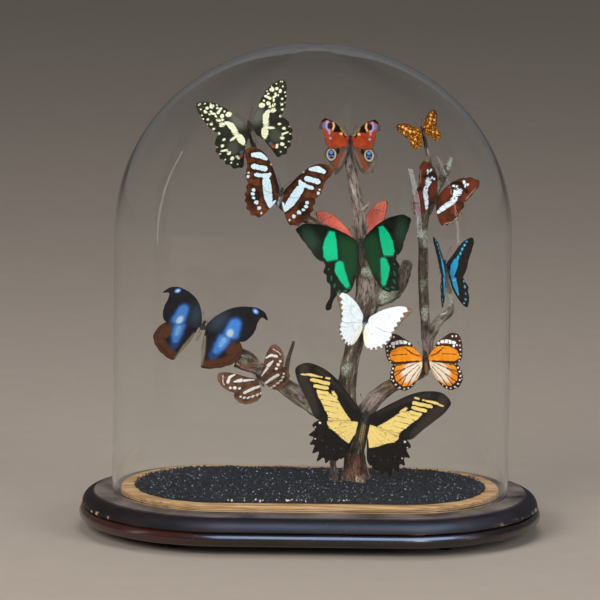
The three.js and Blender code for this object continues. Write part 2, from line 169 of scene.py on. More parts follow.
# %% [markdown]
# ## Writing a finish as arithmetic
# A finish is a graph of nodes, and a graph is easier to read as an expression. `Wire` wraps one
# socket and turns `+ - * /` into Math nodes. `Finish` makes every other node with one method:
# the node's type, its settings, then the values or wires of its sockets.
# %% The wire and the finish
def paint(code):
    """A colour from its hexadecimal code, made linear as the shader wants it."""
    parts = [int(code[i:i + 2], 16) / 255 for i in (1, 3, 5)]
    linear = [c / 12.92 if c <= 0.04045 else ((c + 0.055) / 1.055) ** 2.4 for c in parts]
    return (*linear, 1.0)


class Wire:
    """One socket of a finish, usable in arithmetic."""

    def __init__(self, finish, socket):
        self.finish = finish
        self.socket = socket

    def out(self, name):
        return Wire(self.finish, self.socket.node.outputs[name])

    def _math(self, operation, first, second):
        return self.finish.node("ShaderNodeMath", {"operation": operation}, {0: first, 1: second})

    def __add__(self, other):
        return self._math("ADD", self, other)

    def __sub__(self, other):
        return self._math("SUBTRACT", self, other)

    def __rsub__(self, other):
        return self._math("SUBTRACT", other, self)

    def __mul__(self, other):
        return self._math("MULTIPLY", self, other)

    def __truediv__(self, other):
        return self._math("DIVIDE", self, other)

    def __abs__(self):
        return self.finish.node("ShaderNodeMath", {"operation": "ABSOLUTE"}, {0: self})

    __radd__ = __add__
    __rmul__ = __mul__


print("red, made linear:", [round(c, 3) for c in paint("#c00000")[:3]])


# %% The finish
class Finish:
    """A material in the making."""

    def __init__(self, name):
        self.material = bpy.data.materials.new(name)
        self.material.use_nodes = True
        self.tree = self.material.node_tree
        self.tree.nodes.clear()

    def node(self, kind, settings=None, values=None):
        made = self.tree.nodes.new(kind)
        for name, value in (settings or {}).items():
            if name == "stops":
                ramp = made.color_ramp.elements
                while len(ramp) < len(value):
                    ramp.new(0.5)
                for element, (place, colour) in zip(ramp, value):
                    element.position = place
                    element.color = colour
            else:
                setattr(made, name, value)
        for key, value in (values or {}).items():
            self.plug(self.find(made.inputs, key), value)
        shown = next(s for s in made.outputs if s.enabled) if made.outputs else None
        return Wire(self, shown)

    @staticmethod
    def find(sockets, key):
        if isinstance(key, int):
            return sockets[key]
        return next(s for s in sockets if s.enabled and key in (s.name, s.identifier))

    def plug(self, socket, value):
        if isinstance(value, Wire):
            self.tree.links.new(value.socket, socket)
        else:
            socket.default_value = value

    def place(self):
        return self.node("ShaderNodeTexCoord").out("Object")

    def part(self, vector, axis):
        """One of the X, Y and Z of a vector."""
        return self.node("ShaderNodeSeparateXYZ", {}, {"Vector": vector}).out(axis)

    def attribute(self, name):
        return self.node("ShaderNodeAttribute", {"attribute_name": name}).out("Fac")

    def attribute_vector(self, name):
        return self.node("ShaderNodeAttribute", {"attribute_name": name}).out("Vector")

    def stretch(self, vector, factors):
        return self.node("ShaderNodeVectorMath", {"operation": "MULTIPLY"}, {0: vector, 1: factors})

    def clouds(self, vector, scale, detail=3.0, roughness=0.55):
        return self.node(
            "ShaderNodeTexNoise", {},
            {"Vector": vector, "Scale": scale, "Detail": detail, "Roughness": roughness})

    def cells(self, vector, scale, feature="F1"):
        return self.node(
            "ShaderNodeTexVoronoi", {"feature": feature}, {"Vector": vector, "Scale": scale})

    def fade(self, value, start, end):
        """0 where the value is at start, 1 where it is at end, smooth between them."""
        return self.node(
            "ShaderNodeMapRange", {"interpolation_type": "SMOOTHSTEP"},
            {"Value": value, "From Min": start, "From Max": end})

    def mix(self, factor, first, second, how="MIX"):
        return self.node(
            "ShaderNodeMix", {"data_type": "RGBA", "blend_type": how},
            {"Factor_Float": factor, "A_Color": first, "B_Color": second})

    def bump(self, height, distance, strength=1.0):
        """Relief from a height; distance is in millimetres."""
        return self.node(
            "ShaderNodeBump", {},
            {"Height": height, "Distance": distance * MM, "Strength": strength})

    def finish(self, shader):
        self.node("ShaderNodeOutputMaterial", {}, {"Surface": shader})
        return self.material

    def solid(self, values):
        return self.finish(self.node("ShaderNodeBsdfPrincipled", {}, values))


print("ways to make a node:", sum(callable(m) for m in vars(Finish).values()))

# %% [markdown]
# ## Floor
# One wide flat sheet. The lens is so long that the floor fills the whole picture, so no backdrop
# is needed. It is marked as stage because it is not part of the object.
# %% Make the floor
def mesh_object(name, vertices, faces, material, smooth=True):
    """A new mesh object from points in millimetres."""
    mesh = bpy.data.meshes.new(name)
    mesh.from_pydata((np.asarray(vertices, float) * MM).tolist(), [], faces)
    mesh.materials.append(material)
    mesh.polygons.foreach_set("use_smooth", [smooth] * len(mesh.polygons))
    made = bpy.data.objects.new(name, mesh)
    bpy.context.scene.collection.objects.link(made)
    return made


def store(piece, name, values):
    """Keep one number at every point of a piece, for its finish to read."""
    piece.data.attributes.new(name, "FLOAT", "POINT").data.foreach_set("value", values)


HALF_STAGE = 7000
stage_points = [(-HALF_STAGE, -HALF_STAGE, 0), (HALF_STAGE, -HALF_STAGE, 0),
                (HALF_STAGE, HALF_STAGE, 0), (-HALF_STAGE, HALF_STAGE, 0)]
stage_faces = [(0, 1, 2, 3)]

stage_look = Finish("pale_stage")
grain = stage_look.clouds(stage_look.place(), 40)
stage_material = stage_look.solid({
    "Base Color": stage_look.mix(grain, paint("#998e84"), paint("#a0958b")),
    "Roughness": 0.9,
})
floor = mesh_object("stage", stage_points, stage_faces, stage_material)
floor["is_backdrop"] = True
print("stage faces:", len(stage_faces))

# %% [markdown]
# ## Turned oval pieces
# The base, the board and the grit bed are ovals with straight sides and round ends: the path of a
# cutter that keeps one distance from a straight line, not from a point. The same rule makes the
# mesh: a circle of points parted at the middle by the length of the straight, one ring per step
# of the moulding's profile, closed flat across the middle.
# %% A helper for oval turning
STRAIGHT = 76  # half the length of the straight sides
OVAL_STEPS = 240
ROUND_STEPS = OVAL_STEPS - 2 * 20  # the rest of the points lie along the two straight sides


def arc(centre, radius, start, end, steps=10):
    """Points of a round moulding; centre and radius are (across, up), angles in degrees."""
    angles = np.radians(np.linspace(start, end, steps))
    return [(centre[0] + radius[0] * math.cos(a), centre[1] + radius[1] * math.sin(a)) for a in angles]


def rings_to_faces(rows, columns, first=0):
    """Quads between rows of points that each close into a ring."""
    grid = first + np.arange(rows * columns).reshape(rows, columns)
    after = np.roll(grid, -1, axis=1)
    quads = np.stack([grid[:-1], after[:-1], after[1:], grid[1:]], axis=-1)
    return quads.reshape(-1, 4).tolist()


def end_caps(rows, columns):
    """The flat first and last faces of a stack of rings."""
    last = (rows - 1) * columns
    return [tuple(range(columns))[::-1], tuple(range(last, last + columns))]


def oval_ring(half_width, z, share=1.0, steps=OVAL_STEPS, rounded=ROUND_STEPS):
    """One closed ring of the oval, scaled about its centre by share."""
    quarter = np.linspace(0, math.pi / 2, rounded // 4)
    along = (steps - 4 * len(quarter)) // 2
    end = half_width - STRAIGHT
    x = np.concatenate([STRAIGHT + end * np.cos(quarter), np.linspace(STRAIGHT, -STRAIGHT, along + 2)[1:-1],
                        -STRAIGHT - end * np.cos(quarter[::-1])])
    y = np.concatenate([end * np.sin(quarter), np.full(along, end), end * np.sin(quarter[::-1])])
    x, y = np.concatenate([x, x[::-1]]), np.concatenate([y, -y[::-1]])
    keep = np.ones(len(x), bool)
    keep[len(x) // 2] = keep[-1] = False  # the two ends would come twice
    ring = np.stack([x * share, y * share, np.full(len(x), float(z))], axis=-1)
    return ring[keep]


def oval_turning(name, profile, material):
    """Turn a profile of (half width, height), from the bottom centre outward and up."""
    rings = [oval_ring(r, z) for r, z in profile]
    count = len(rings[0])
    faces = rings_to_faces(len(profile), count) + end_caps(len(profile), count)
    return mesh_object(name, np.concatenate(rings), faces, material)


def sharpen(piece, degrees=32):
    """Keep the crisp lines of a moulding crisp under smooth shading."""
    piece.data.set_sharp_from_angle(angle=math.radians(degrees))


def stand_for(piece, node, slot):
    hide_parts(node)
    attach(piece, "root")


print("points in one ring:", len(oval_ring(2 * STRAIGHT, 0)))

# %% [markdown]
# ## Polished wood
# The base is dark wood under many thin coats of shellac. The colour is nearly black with a warm
# red where light gets into it. The roll at the bottom keeps its shine. Above the groove the coat
# is worn thin and dull, with fine scratches and specks, and the shelf is painted pale: partly
# old dust, partly a painted reflection of the light on the shelf.
# %% The polished wood finish
wood = Finish("polished_wood")
where = wood.place()
along = wood.stretch(where, (14, 60, 90))
figure = wood.clouds(along, 1.6, 5)
pores = wood.fade(wood.clouds(wood.stretch(where, (60, 900, 900)), 1, 2), 0.62, 0.72)
specks = wood.fade(wood.cells(where, 420), 0.13, 0.06) * wood.fade(wood.clouds(where, 25), 0.55, 0.7)
height = wood.part(where, "Z")
facing = wood.part(wood.node("ShaderNodeNewGeometry").out("Normal"), "Z")
# Upward faces of the shelf: partly real dust, partly a painted reflection of the light.
dust_and_reflection = wood.fade(height, 0.0305, 0.0315) * wood.fade(facing, 0.3, 0.9) * wood.fade(
    wood.clouds(where, 30, 5), 0.2, 0.75)
upper = wood.fade(height, 0.0198, 0.0202)
haze = wood.fade(wood.clouds(where, 18, 4), 0.45, 0.75)
shellac = wood.mix(wood.fade(figure, 0.35, 0.7), paint("#070505"), paint("#1d0b08"))
# Painted light: the left end of the roll is painted warm red, where light gets into the shellac.
left = wood.fade(wood.part(where, "X"), -0.06, -0.13)
shellac = wood.mix(left * (1 - upper) * 0.7, shellac, paint("#3a160e"))
shellac = wood.mix(pores * 0.6, shellac, paint("#0c0706"))
# The shelf is painted pale taupe, for old dust and for a painted reflection.
shellac = wood.mix(dust_and_reflection * 0.62, shellac, paint("#8d7d72"))
shellac = wood.mix(specks * 0.7, shellac, paint("#b8aca0"))
# The lip over the groove is rubbed through to pale wood at both ends, where hands lift the case.
across = abs(wood.part(where, "X"))
lip_band = wood.fade(height, 0.0196, 0.0204) * wood.fade(height, 0.0245, 0.0222)
rubbed_through = lip_band * wood.fade(across, 0.15, 0.175) * wood.fade(wood.clouds(where, 120, 3), 0.54,
    0.6)
shellac = wood.mix(rubbed_through * 0.8, shellac, paint("#c2b193"))
scratch = wood.clouds(wood.stretch(where, (30, 260, 800)), 1, 3)
polished = wood.solid({
    "Base Color": shellac,
    "Roughness": haze * 0.14 + dust_and_reflection * 0.3 + specks * 0.3 + upper * 0.3 + 0.24,
    "Coat Weight": 0.75 - upper * 0.68 - dust_and_reflection * 0.2,
    "Coat Roughness": 0.24,
    "Normal": wood.bump(scratch * 0.6 + figure + specks * 2, 0.09, 0.5),
})
print("polished wood nodes:", len(polished.node_tree.nodes))

# %% [markdown]
# ## The base
# Its edge is a run of mouldings: a half round at the bottom, a narrow groove, a quarter round
# and a small step up to the shelf. Each is an arc of the profile, with rounded corners as a
# polished edge has.
# %% Turn the base
BASE_HALF_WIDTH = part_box("base_plinth")[1][0] / MM
SHELF_HALF_WIDTH = BASE_HALF_WIDTH - 12
BASE_BOTTOM = 8
BASE_TOP = 32
ROLL_TOP = 19.6
QUIRK_TOP = 20.5
QUARTER_TOP = 30.6
QUIRK_HALF_WIDTH = BASE_HALF_WIDTH - 5
QUARTER_DEPTH = BASE_HALF_WIDTH - 2.2 - (SHELF_HALF_WIDTH + 1)
roll_middle = (BASE_BOTTOM + ROLL_TOP) / 2

base_profile = [(BASE_HALF_WIDTH - 40, BASE_BOTTOM), (BASE_HALF_WIDTH - 6, BASE_BOTTOM)]
base_profile += arc((BASE_HALF_WIDTH - 5.2, roll_middle), (5.2, 5.8), -88, 86, 22)
base_profile += [(QUIRK_HALF_WIDTH, ROLL_TOP - 0.02), (QUIRK_HALF_WIDTH - 0.1, ROLL_TOP + 0.3)]
base_profile += [(QUIRK_HALF_WIDTH, QUIRK_TOP - 0.1), (BASE_HALF_WIDTH - 2.6, QUIRK_TOP)]
base_profile += arc((SHELF_HALF_WIDTH + 1, QUIRK_TOP), (QUARTER_DEPTH, QUARTER_TOP - QUIRK_TOP), 2, 89, 20)
base_profile += [(SHELF_HALF_WIDTH + 0.6, QUARTER_TOP + 0.05)]
base_profile += arc((SHELF_HALF_WIDTH - 0.9, BASE_TOP - 0.9), (0.9, 0.9), 0, 88, 6)
base_profile += [(SHELF_HALF_WIDTH - 3, BASE_TOP), (SHELF_HALF_WIDTH - 60, BASE_TOP)]
base = oval_turning("base_moulding", base_profile, polished)
sharpen(base)
stand_for(base, "base_plinth", "polished_wood")
# The window lights only the polish, so that no pale square of it hides what is behind the glass.
polish_only = bpy.data.collections.new("lit_by_window")
polish_only.objects.link(base)
shine_lights[-1].light_linking.receiver_collection = polish_only
print("base width", round(base.dimensions.x / MM, 1), "mm, faces", len(base.data.polygons))

# %% [markdown]
# ## The feet
# Four small turned buttons, stained black, lift the base from the table. Each is a short profile
# with a rounded edge, turned on a plain circle.
# %% Turn the feet
stain = Finish("black_stain")
wear = stain.clouds(stain.place(), 220, 4)
stained = stain.solid({
    "Base Color": stain.mix(stain.fade(wear, 0.4, 0.7), paint("#101216"), paint("#262a31")),
    "Roughness": wear * 0.3 + 0.32,
    "Normal": stain.bump(stain.clouds(stain.place(), 700, 3), 0.08, 0.6),
})
FOOT_STEPS = 48
foot_profile = [(0.5, 0), (5.2, 0), (6.2, 0.3), (6.8, 1.1), (7, 2.4), (6.8, 4.6), (6.3, 5.8), (6.4, 6.4),
    (6.6, 7.7), (0.5, 7.7)]
for side_y in ("front", "back"):
    for side_x in ("left", "right"):
        low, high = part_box(f"foot_{side_y}_{side_x}")
        centre = [(low[i] + high[i]) / 2 / MM for i in (0, 1)]
        turns = np.arange(FOOT_STEPS) / FOOT_STEPS * 2 * math.pi
        foot_points = [
            (centre[0] + r * math.cos(a), centre[1] + r * math.sin(a), z)
            for r, z in foot_profile for a in turns
        ]
        foot_faces = rings_to_faces(len(foot_profile), FOOT_STEPS)
        foot_faces += end_caps(len(foot_profile), FOOT_STEPS)
        foot = mesh_object(f"button_foot_{side_y}_{side_x}", foot_points, foot_faces, stained)
        sharpen(foot, 40)
        stand_for(foot, f"foot_{side_y}_{side_x}", "foot")
print("feet: 4")

# %% [markdown]
# ## The board
# A thin plywood oval inside the glass holds the branch. Its bare edge shows the layers as light
# and dark lines, so the colour depends on height there, and on stretched noise for the grain.
# %% Cut the board
ply = Finish("plywood")
where = ply.place()
height = ply.part(where, "Z") * 1000
fibres = ply.clouds(ply.stretch(where, (25, 240, 700)), 1, 4)
glue = ply.fade(height, 33.35, 33.6) * ply.fade(height, 34.1, 33.8)
second = ply.fade(height, 34.9, 35.1) * ply.fade(height, 35.45, 35.25)
bare = ply.mix(ply.fade(fibres, 0.3, 0.7), paint("#8a6844"), paint("#c9a274"))
bare = ply.mix(glue * 0.75 + second * 0.35, bare, paint("#4d3320"))
rubbed = ply.fade(ply.clouds(where, 30, 3), 0.5, 0.8)
plywood = ply.solid({
    "Base Color": ply.mix(rubbed * 0.4, bare, paint("#dcc09a")),
    "Roughness": fibres * 0.25 + 0.5,
    "Normal": ply.bump(fibres - glue, 0.15, 0.8),
})
BOARD_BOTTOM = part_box("display_board")[0][2] / MM
BOARD_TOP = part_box("display_board")[1][2] / MM
BOARD_HALF_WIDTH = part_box("display_board")[1][0] / MM
board_profile = [(BOARD_HALF_WIDTH - 50, BOARD_BOTTOM), (BOARD_HALF_WIDTH - 0.4, BOARD_BOTTOM)]
board_profile += [(BOARD_HALF_WIDTH, BOARD_BOTTOM + 0.3), (BOARD_HALF_WIDTH, BOARD_TOP - 0.9)]
board_profile += arc((BOARD_HALF_WIDTH - 0.8, BOARD_TOP - 0.8), (0.8, 0.8), 0, 90, 6)
board_profile += [(BOARD_HALF_WIDTH - 30, BOARD_TOP)]
board = oval_turning("plywood_board", board_profile, plywood)
sharpen(board)
stand_for(board, "display_board", "plywood")
print("board thickness", round(BOARD_TOP - BOARD_BOTTOM, 1))

# %% [markdown]
# ## The grit
# Black grit is glued over the board. A sheet of fine waves is its bed, and loose grains lie on
# it: each grain is one of a few chipped stones, turned and scaled at random, and all of them are
# joined in one mesh. Every grain carries its own shade, so the bed sparkles light and dark.
# %% Spread the grit
grit = Finish("dark_grit")
where = grit.place()
shade = grit.attribute("shade")
fleck = grit.clouds(where, 900, 3)
stone = grit.mix(grit.fade(shade, 0.0, 0.7), paint("#07080b"), paint("#2c323d"))
stone = grit.mix(grit.fade(shade, 0.86, 1.0), stone, paint("#9aa3b3"))
stone = grit.mix(grit.fade(fleck, 0.55, 0.8) * 0.5, stone, paint("#4b5361"))
stone = grit.mix(grit.fade(shade, 1.5, 1.9), stone, paint("#d9cdb4"))
grit_material = grit.solid({
    "Base Color": stone,
    "Roughness": fleck * 0.5 + 0.45,
    "Normal": grit.bump(fleck, 0.2, 0.7),
})

GRIT_HALF_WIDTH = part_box("sand_bed")[1][0] / MM
GRIT_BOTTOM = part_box("sand_bed")[0][2] / MM
GRIT_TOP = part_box("sand_bed")[1][2] / MM
GRAIN_COUNT = 6500
CREAM_SHADE = 2.0  # above every other grain's shade, so the finish can tell cream crumbs apart
CREAM_FRONT = -62  # cream crumbs lie only in front of this line
CREAM_MIDDLE = -18
CREAM_REACH = 50
CREAM_CHANCE = 0.16
CREAM_GROWTH = 1.5
chance = random.Random(11)


def grit_height(x, y):
    lift = noise.fractal(Vector((x / 14, y / 14, 3)), 0.6, 2.1, 4) * 0.35
    return GRIT_TOP - 0.3 + lift + noise.noise(Vector((x, y, 0)) * 0.9) * 0.16


bed_points = []
BED_RINGS = 44
level = oval_ring(GRIT_HALF_WIDTH, 0, 1, 360, 280)[:, :2]
for ring in range(BED_RINGS):
    share = 1.0 if ring == BED_RINGS - 1 else (ring + 0.5) / (BED_RINGS - 0.5)
    for x, y in level * share:
        ragged = 1 - 0.02 * share ** 6 * (0.5 + 0.5 * noise.noise(Vector((x / 6, y / 6, 7))))
        edge_drop = max(0.0, share - 0.97) / 0.03
        z = grit_height(x, y) * (1 - edge_drop) + (GRIT_BOTTOM + 0.4) * edge_drop
        bed_points.append((x * ragged, y * ragged, z))
BED_TURNS = len(level)
bed_faces = rings_to_faces(BED_RINGS, BED_TURNS)
under = len(bed_points)
bed_points += [(x, y, GRIT_BOTTOM) for x, y, _ in bed_points[-BED_TURNS:]]
bed_faces += rings_to_faces(2, BED_TURNS, under - BED_TURNS)
# The rings run outward from the top, so these faces are turned over to look out.
bed_faces = [f[::-1] for f in bed_faces]
bed_faces.append(list(range(BED_TURNS)))
bed_faces.append(list(range(under, under + BED_TURNS))[::-1])

golden = (1 + 5 ** 0.5) / 2
ICO = np.array([(-1, golden, 0), (1, golden, 0), (-1, -golden, 0), (1, -golden, 0), (0, -1, golden), (0, 1,
    golden),
                (0, -1, -golden), (0, 1, -golden), (golden, 0, -1), (golden, 0, 1), (-golden, 0, -1),
                (-golden, 0, 1)])
ICO = ICO / np.linalg.norm(ICO[0])
ICO_FACES = [(0, 11, 5), (0, 5, 1), (0, 1, 7), (0, 7, 10), (0, 10, 11), (1, 5, 9), (5, 11, 4), (11, 10, 2),
             (10, 7, 6), (7, 1, 8), (3, 9, 4), (3, 4, 2), (3, 2, 6), (3, 6, 8), (3, 8, 9), (4, 9, 5), (2, 4,
                 11),
             (6, 2, 10), (8, 6, 7), (9, 8, 1)]
grit_points = [np.array(bed_points)]
grit_faces = list(bed_faces)
shades = [0.25] * len(bed_points)
count = len(bed_points)
for _ in range(GRAIN_COUNT):
    x = chance.uniform(-GRIT_HALF_WIDTH, GRIT_HALF_WIDTH)
    y = chance.uniform(STRAIGHT - GRIT_HALF_WIDTH, GRIT_HALF_WIDTH - STRAIGHT)
    if math.hypot(max(0.0, abs(x) - STRAIGHT), y) > GRIT_HALF_WIDTH - STRAIGHT - 0.5:
        continue
    size = chance.uniform(0.35, 0.75)
    cream = y < CREAM_FRONT and abs(x - CREAM_MIDDLE) < CREAM_REACH and chance.random() < CREAM_CHANCE
    size *= CREAM_GROWTH if cream else 1
    stretch = np.array([chance.uniform(0.7, 1.3) for _ in range(3)]) * size
    chip = ICO * stretch * np.array([[chance.uniform(0.8, 1.15)] for _ in range(12)])
    turn = chance.uniform(0, math.pi)
    chip = chip @ np.array([[math.cos(turn), math.sin(turn), 0], [-math.sin(turn), math.cos(turn), 0], [0,
        0, 1]])
    grit_points.append(chip + np.array([x, y, grit_height(x, y) + size * 0.25]))
    grit_faces += [tuple(count + i for i in f) for f in ICO_FACES]
    shades += [CREAM_SHADE if cream else chance.random()] * 12
    count += 12
bed = mesh_object("grit_bed", np.concatenate(grit_points), grit_faces, grit_material, smooth=False)
store(bed, "shade", shades)
stand_for(bed, "sand_bed", "grit")
print("grit faces:", len(grit_faces))

# %% [markdown]
# ## The glass dome
# Old domes were blown, so the wall is thin and a little uneven. The oval wall rises straight and
# closes in a low arch. Inner and outer skins are real surfaces three millimetres apart,
# because the bright lines at the sides come from light bent between them. Shadow rays pass
# straight through, which keeps the light inside the dome clean. Real glass bends light more
# than this one does: at its true strength it laid a grey veil over the dark wings.
# %% Blow the glass
GLASS_HALF_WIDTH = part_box("glass_dome")[1][0] / MM
GLASS_WALL = 3
GLASS_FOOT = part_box("glass_dome")[0][2] / MM
GLASS_SPRING = 254  # where the straight wall ends and the arch begins
GLASS_STEPS = 280
GLASS_ROUND_STEPS = 240
GLASS_BENDING = 1.27
GLASS_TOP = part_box("glass_dome")[1][2] / MM
WALL_ROWS = 22
ARCH_ROWS = 44


def glass_skin(half_width, top, seed):
    """Rings of one skin, from the foot up to just short of the crown."""
    levels = [(1.0, z) for z in np.linspace(GLASS_FOOT + 1.2, GLASS_SPRING, WALL_ROWS)]
    angles = np.linspace(0, math.pi / 2, ARCH_ROWS + 1)[1:-1]
    levels += [(math.cos(a), GLASS_SPRING + (top - GLASS_SPRING) * math.sin(a)) for a in angles]
    rows = []
    for share, z in levels:
        ring = oval_ring(half_width, z, share, GLASS_STEPS, GLASS_ROUND_STEPS)
        uneven = np.array([noise.noise(Vector((x / 120, y / 120, z / 90 + seed))) for x, y, _ in ring])
        ring[:, :2] *= 1 + 0.0012 * uneven[:, None]
        rows.append(ring)
    return rows


outer = glass_skin(GLASS_HALF_WIDTH - 0.2, GLASS_TOP - 0.2, 0)
inner = glass_skin(GLASS_HALF_WIDTH - GLASS_WALL, GLASS_TOP - GLASS_WALL, 5)
# The foot of the wall is a melted, rounded lip between the two skins.
LIP = [(2.9, 0.5), (2.3, 0.06), (1.5, 0.0), (0.8, 0.06), (0.25, 0.5)]
lip_rows = [oval_ring(GLASS_HALF_WIDTH - inset, GLASS_FOOT + up, 1, GLASS_STEPS, GLASS_ROUND_STEPS)
            for inset, up in LIP]
glass_rows = inner[::-1] + lip_rows + outer
ring_size = len(glass_rows[0])
glass_faces = rings_to_faces(len(glass_rows), ring_size)
inner_tip = len(glass_rows) * ring_size
glass_points = np.concatenate(glass_rows + [[(0, 0, GLASS_TOP - GLASS_WALL), (0, 0, GLASS_TOP - 0.2)]])
last = (len(glass_rows) - 1) * ring_size
for i in range(ring_size):
    j = (i + 1) % ring_size
    glass_faces.append((inner_tip, j, i))
    glass_faces.append((inner_tip + 1, last + i, last + j))

clear = Finish("blown_glass")
ripple = clear.clouds(clear.place(), 6, 2)
shell = clear.node("ShaderNodeBsdfPrincipled", {}, {
    "Base Color": (0.985, 0.995, 0.99, 1),
    "Roughness": 0.0,
    "IOR": GLASS_BENDING,
    "Transmission Weight": 1.0,
    "Normal": clear.bump(ripple, 0.5, 0.15),
})
passing = clear.node("ShaderNodeBsdfTransparent", {}, {"Color": (0.97, 0.98, 0.975, 1)})
is_shadow = clear.node("ShaderNodeLightPath").out("Is Shadow Ray")
clear_glass = clear.finish(clear.node("ShaderNodeMixShader", {}, {0: is_shadow, 1: shell, 2: passing}))
dome = mesh_object("blown_dome", glass_points, glass_faces, clear_glass)
stand_for(dome, "glass_dome", "glass")
print("dome", [round(v / MM) for v in dome.dimensions], "mm")

# %% [markdown]
# ## Dry bark
# The branch is a dead twig from a wood floor. Its bark has ridges that run along each limb, so
# the noise is stretched along a direction stored with the mesh, not along the room's axes.
# Lichen, a red inner bark and a pale peeled stretch are stains that start from places on the
# branch; each stain is a distance kept at every point, broken up by noise.
# %% The bark finish
def bark_finish(name, low, high, furrow_shade):
    bark = Finish(name)
    where = bark.place()
    ridge_place = bark.attribute_vector("bark_place")
    ridges = bark.clouds(bark.stretch(ridge_place, (900, 900, 110)), 1, 6, 0.62)
    blotch = bark.clouds(where, 75, 4)
    fine = bark.clouds(where, 900, 4, 0.65)
    deep = bark.attribute("deep")
    colour = bark.mix(bark.fade(blotch, 0.3, 0.7), paint(low), paint(high))
    colour = bark.mix(bark.fade(bark.attribute("pale") + blotch * 14 - 7, 8, -2) * 0.8, colour,
        paint("#a08d84"))
    colour = bark.mix(bark.fade(bark.attribute("red") + fine * 9 - 4, 4, -3) * 0.8, colour,
        paint("#7d4632"))
    # Painted shade and painted highlight: the furrows of the bump and the sunken parts of the mesh are
    # painted dark, the ridge crests pale.
    colour = bark.mix(bark.fade(ridges, 0.52, 0.36) * 0.85, colour, paint(furrow_shade))
    colour = bark.mix(bark.fade(deep, 0.1, -0.6) * 0.75, colour, paint(furrow_shade))
    colour = bark.mix(bark.fade(ridges, 0.56, 0.7) * 0.5, colour, paint("#b9ab9c"))
    # Plates of bark have flaked: some lie dark and damp, some are bleached nearly white.
    flakes = bark.clouds(bark.stretch(ridge_place, (300, 300, 70)), 1, 5, 0.6)
    colour = bark.mix(bark.fade(flakes + fine * 0.3, 0.62, 0.52) * 0.75, colour, paint("#1c1410"))
    colour = bark.mix(bark.fade(flakes + fine * 0.3, 0.74, 0.84) * 0.85, colour, paint("#c9bfb4"))
    crust = bark.fade(bark.attribute("lichen") + blotch * 30 + fine * 16 - 22, 2.0, -1.5)
    crust_colour = bark.mix(bark.fade(fine, 0.38, 0.6), paint("#4f5643"), paint("#b9bda9"))
    colour = bark.mix(crust * 0.9, colour, crust_colour)
    speckle = bark.fade(bark.cells(where, 520), 0.2, 0.08) * bark.fade(blotch, 0.4, 0.6)
    colour = bark.mix(speckle * 0.55, colour, paint("#c9bfb2"))
    cut = bark.attribute("cut")
    colour = bark.mix(bark.fade(cut, 0.2, 0.9), colour, bark.mix(ridges, paint("#120d0a"),
        paint("#33251b")))
    return bark.solid({
        "Base Color": colour,
        "Roughness": ridges * 0.25 + 0.68,
        "Normal": bark.bump(ridges * 1.6 + fine * 0.9 + flakes * 1.2 + crust * 0.5, 0.9, 1.0),
    })


dry_bark = bark_finish("dry_bark", "#3d3129", "#76644f", "#17110d")
mossy_bark = bark_finish("lichen_bark", "#4a4438", "#8b8371", "#1f1a16")
print("bark finishes: 2")

# %% [markdown]
# ## The branch
# Each limb is a path with a radius at every point. A tube follows the path, its rings carried
# along without twist. Ridges, lumps and knots push every point in or out. A limb that grows from
# another starts inside it and swells there, so the fork has no step.
# %% The routes of the limbs
BRANCH = {
    "trunk": [(38, 22, 37.6, 12.6), (38, 22, 42, 11), (38, 22, 48, 9.5), (37, 22, 62, 8), (39, 22, 78, 8),
              (38, 22, 92, 8.2)],
    "prop_root": [(37, 22, 74, 3.5), (25, 20, 66, 3.2), (19, 19, 54, 2.8), (20, 19, 46, 2.8), (20, 19, 37.7,
        3.6)],
    "left_limb": [(36, 22, 83, 7), (22, 24, 86, 7.5), (8, 26, 95, 7.5), (-17, 28, 112, 7), (-41, 29, 128,
        6.2),
                  (-63, 29, 136, 5)],
    "left_twig": [(-43, 29, 130, 3), (-51, 27, 141, 2.6), (-62, 24, 147, 2.4), (-76, 20, 156, 2),
                  (-90, 18, 167, 1.6)],
    "left_spur": [(-24, 28, 115, 2.6), (-21, 27, 128, 2), (-19, 25, 140, 1.7), (-15, 24, 154, 1.2)],
    "middle_limb": [(38, 22, 86, 7), (31, 22, 104, 7), (30, 22, 120, 7.5), (33, 22, 142, 7), (38, 22, 162,
        7.5),
                    (45, 23, 186, 10.6), (46, 23, 208, 9.6), (41, 22, 238, 6.2), (37, 22, 270, 5), (31, 21,
                        300, 4.2),
                    (28, 20, 318, 3.2)],
    "middle_stub": [(48, 23, 192, 6), (60, 24, 193, 6.6), (72, 25, 203, 6), (79, 25, 222, 4)],
    "upper_left_branch": [(41, 22, 234, 4.5), (18, 24, 245, 4.4), (-7, 24, 259, 3.8), (-28, 24, 271, 3),
                          (-42, 27, 298, 2.4), (-50, 27, 318, 2), (-54, 22, 336, 1.7)],
    "right_limb": [(39, 22, 86, 6.5), (50, 24, 102, 6.5), (64, 27, 115, 6), (78, 28, 123, 5.5), (91, 26,
        129, 5),
                   (97, 25, 142, 4.4), (94, 24, 173, 4), (92, 24, 215, 4), (92, 24, 258, 3.8), (99, 24, 279,
                       3.6),
                   (108, 24, 296, 3.6), (114, 23, 311, 2)],
    "right_spur": [(96, 25, 151, 3.2), (104, 25, 171, 3.8), (115, 25, 182, 3), (114, 24, 198, 2), (110, 23,
        216, 1.5)],
    "top_right_twig": [(97, 24, 274, 2.4), (97, 24, 300, 1.9), (93, 23, 322, 1.6), (90, 20, 336, 1.3)],
}
LICHEN_LIMBS = ("middle_stub", "right_spur")
HOLLOW_ENDS = ("left_limb",)
# Small broken snags, too fine for the solid model.
SNAGS = {
    "stem_snag": [(36, 21, 266, 2.2), (41, 19, 268, 2.0), (45, 18, 271, 1.5), (47, 18, 274, 1.0)],
    "limb_snag": [(47, 20, 170, 2.4), (54, 16, 174, 2.0), (57, 15, 180, 1.1)],
    "tip_snag": [(109, 22, 298, 1.8), (104, 20, 303, 1.4), (103, 20, 309, 0.8)],
}
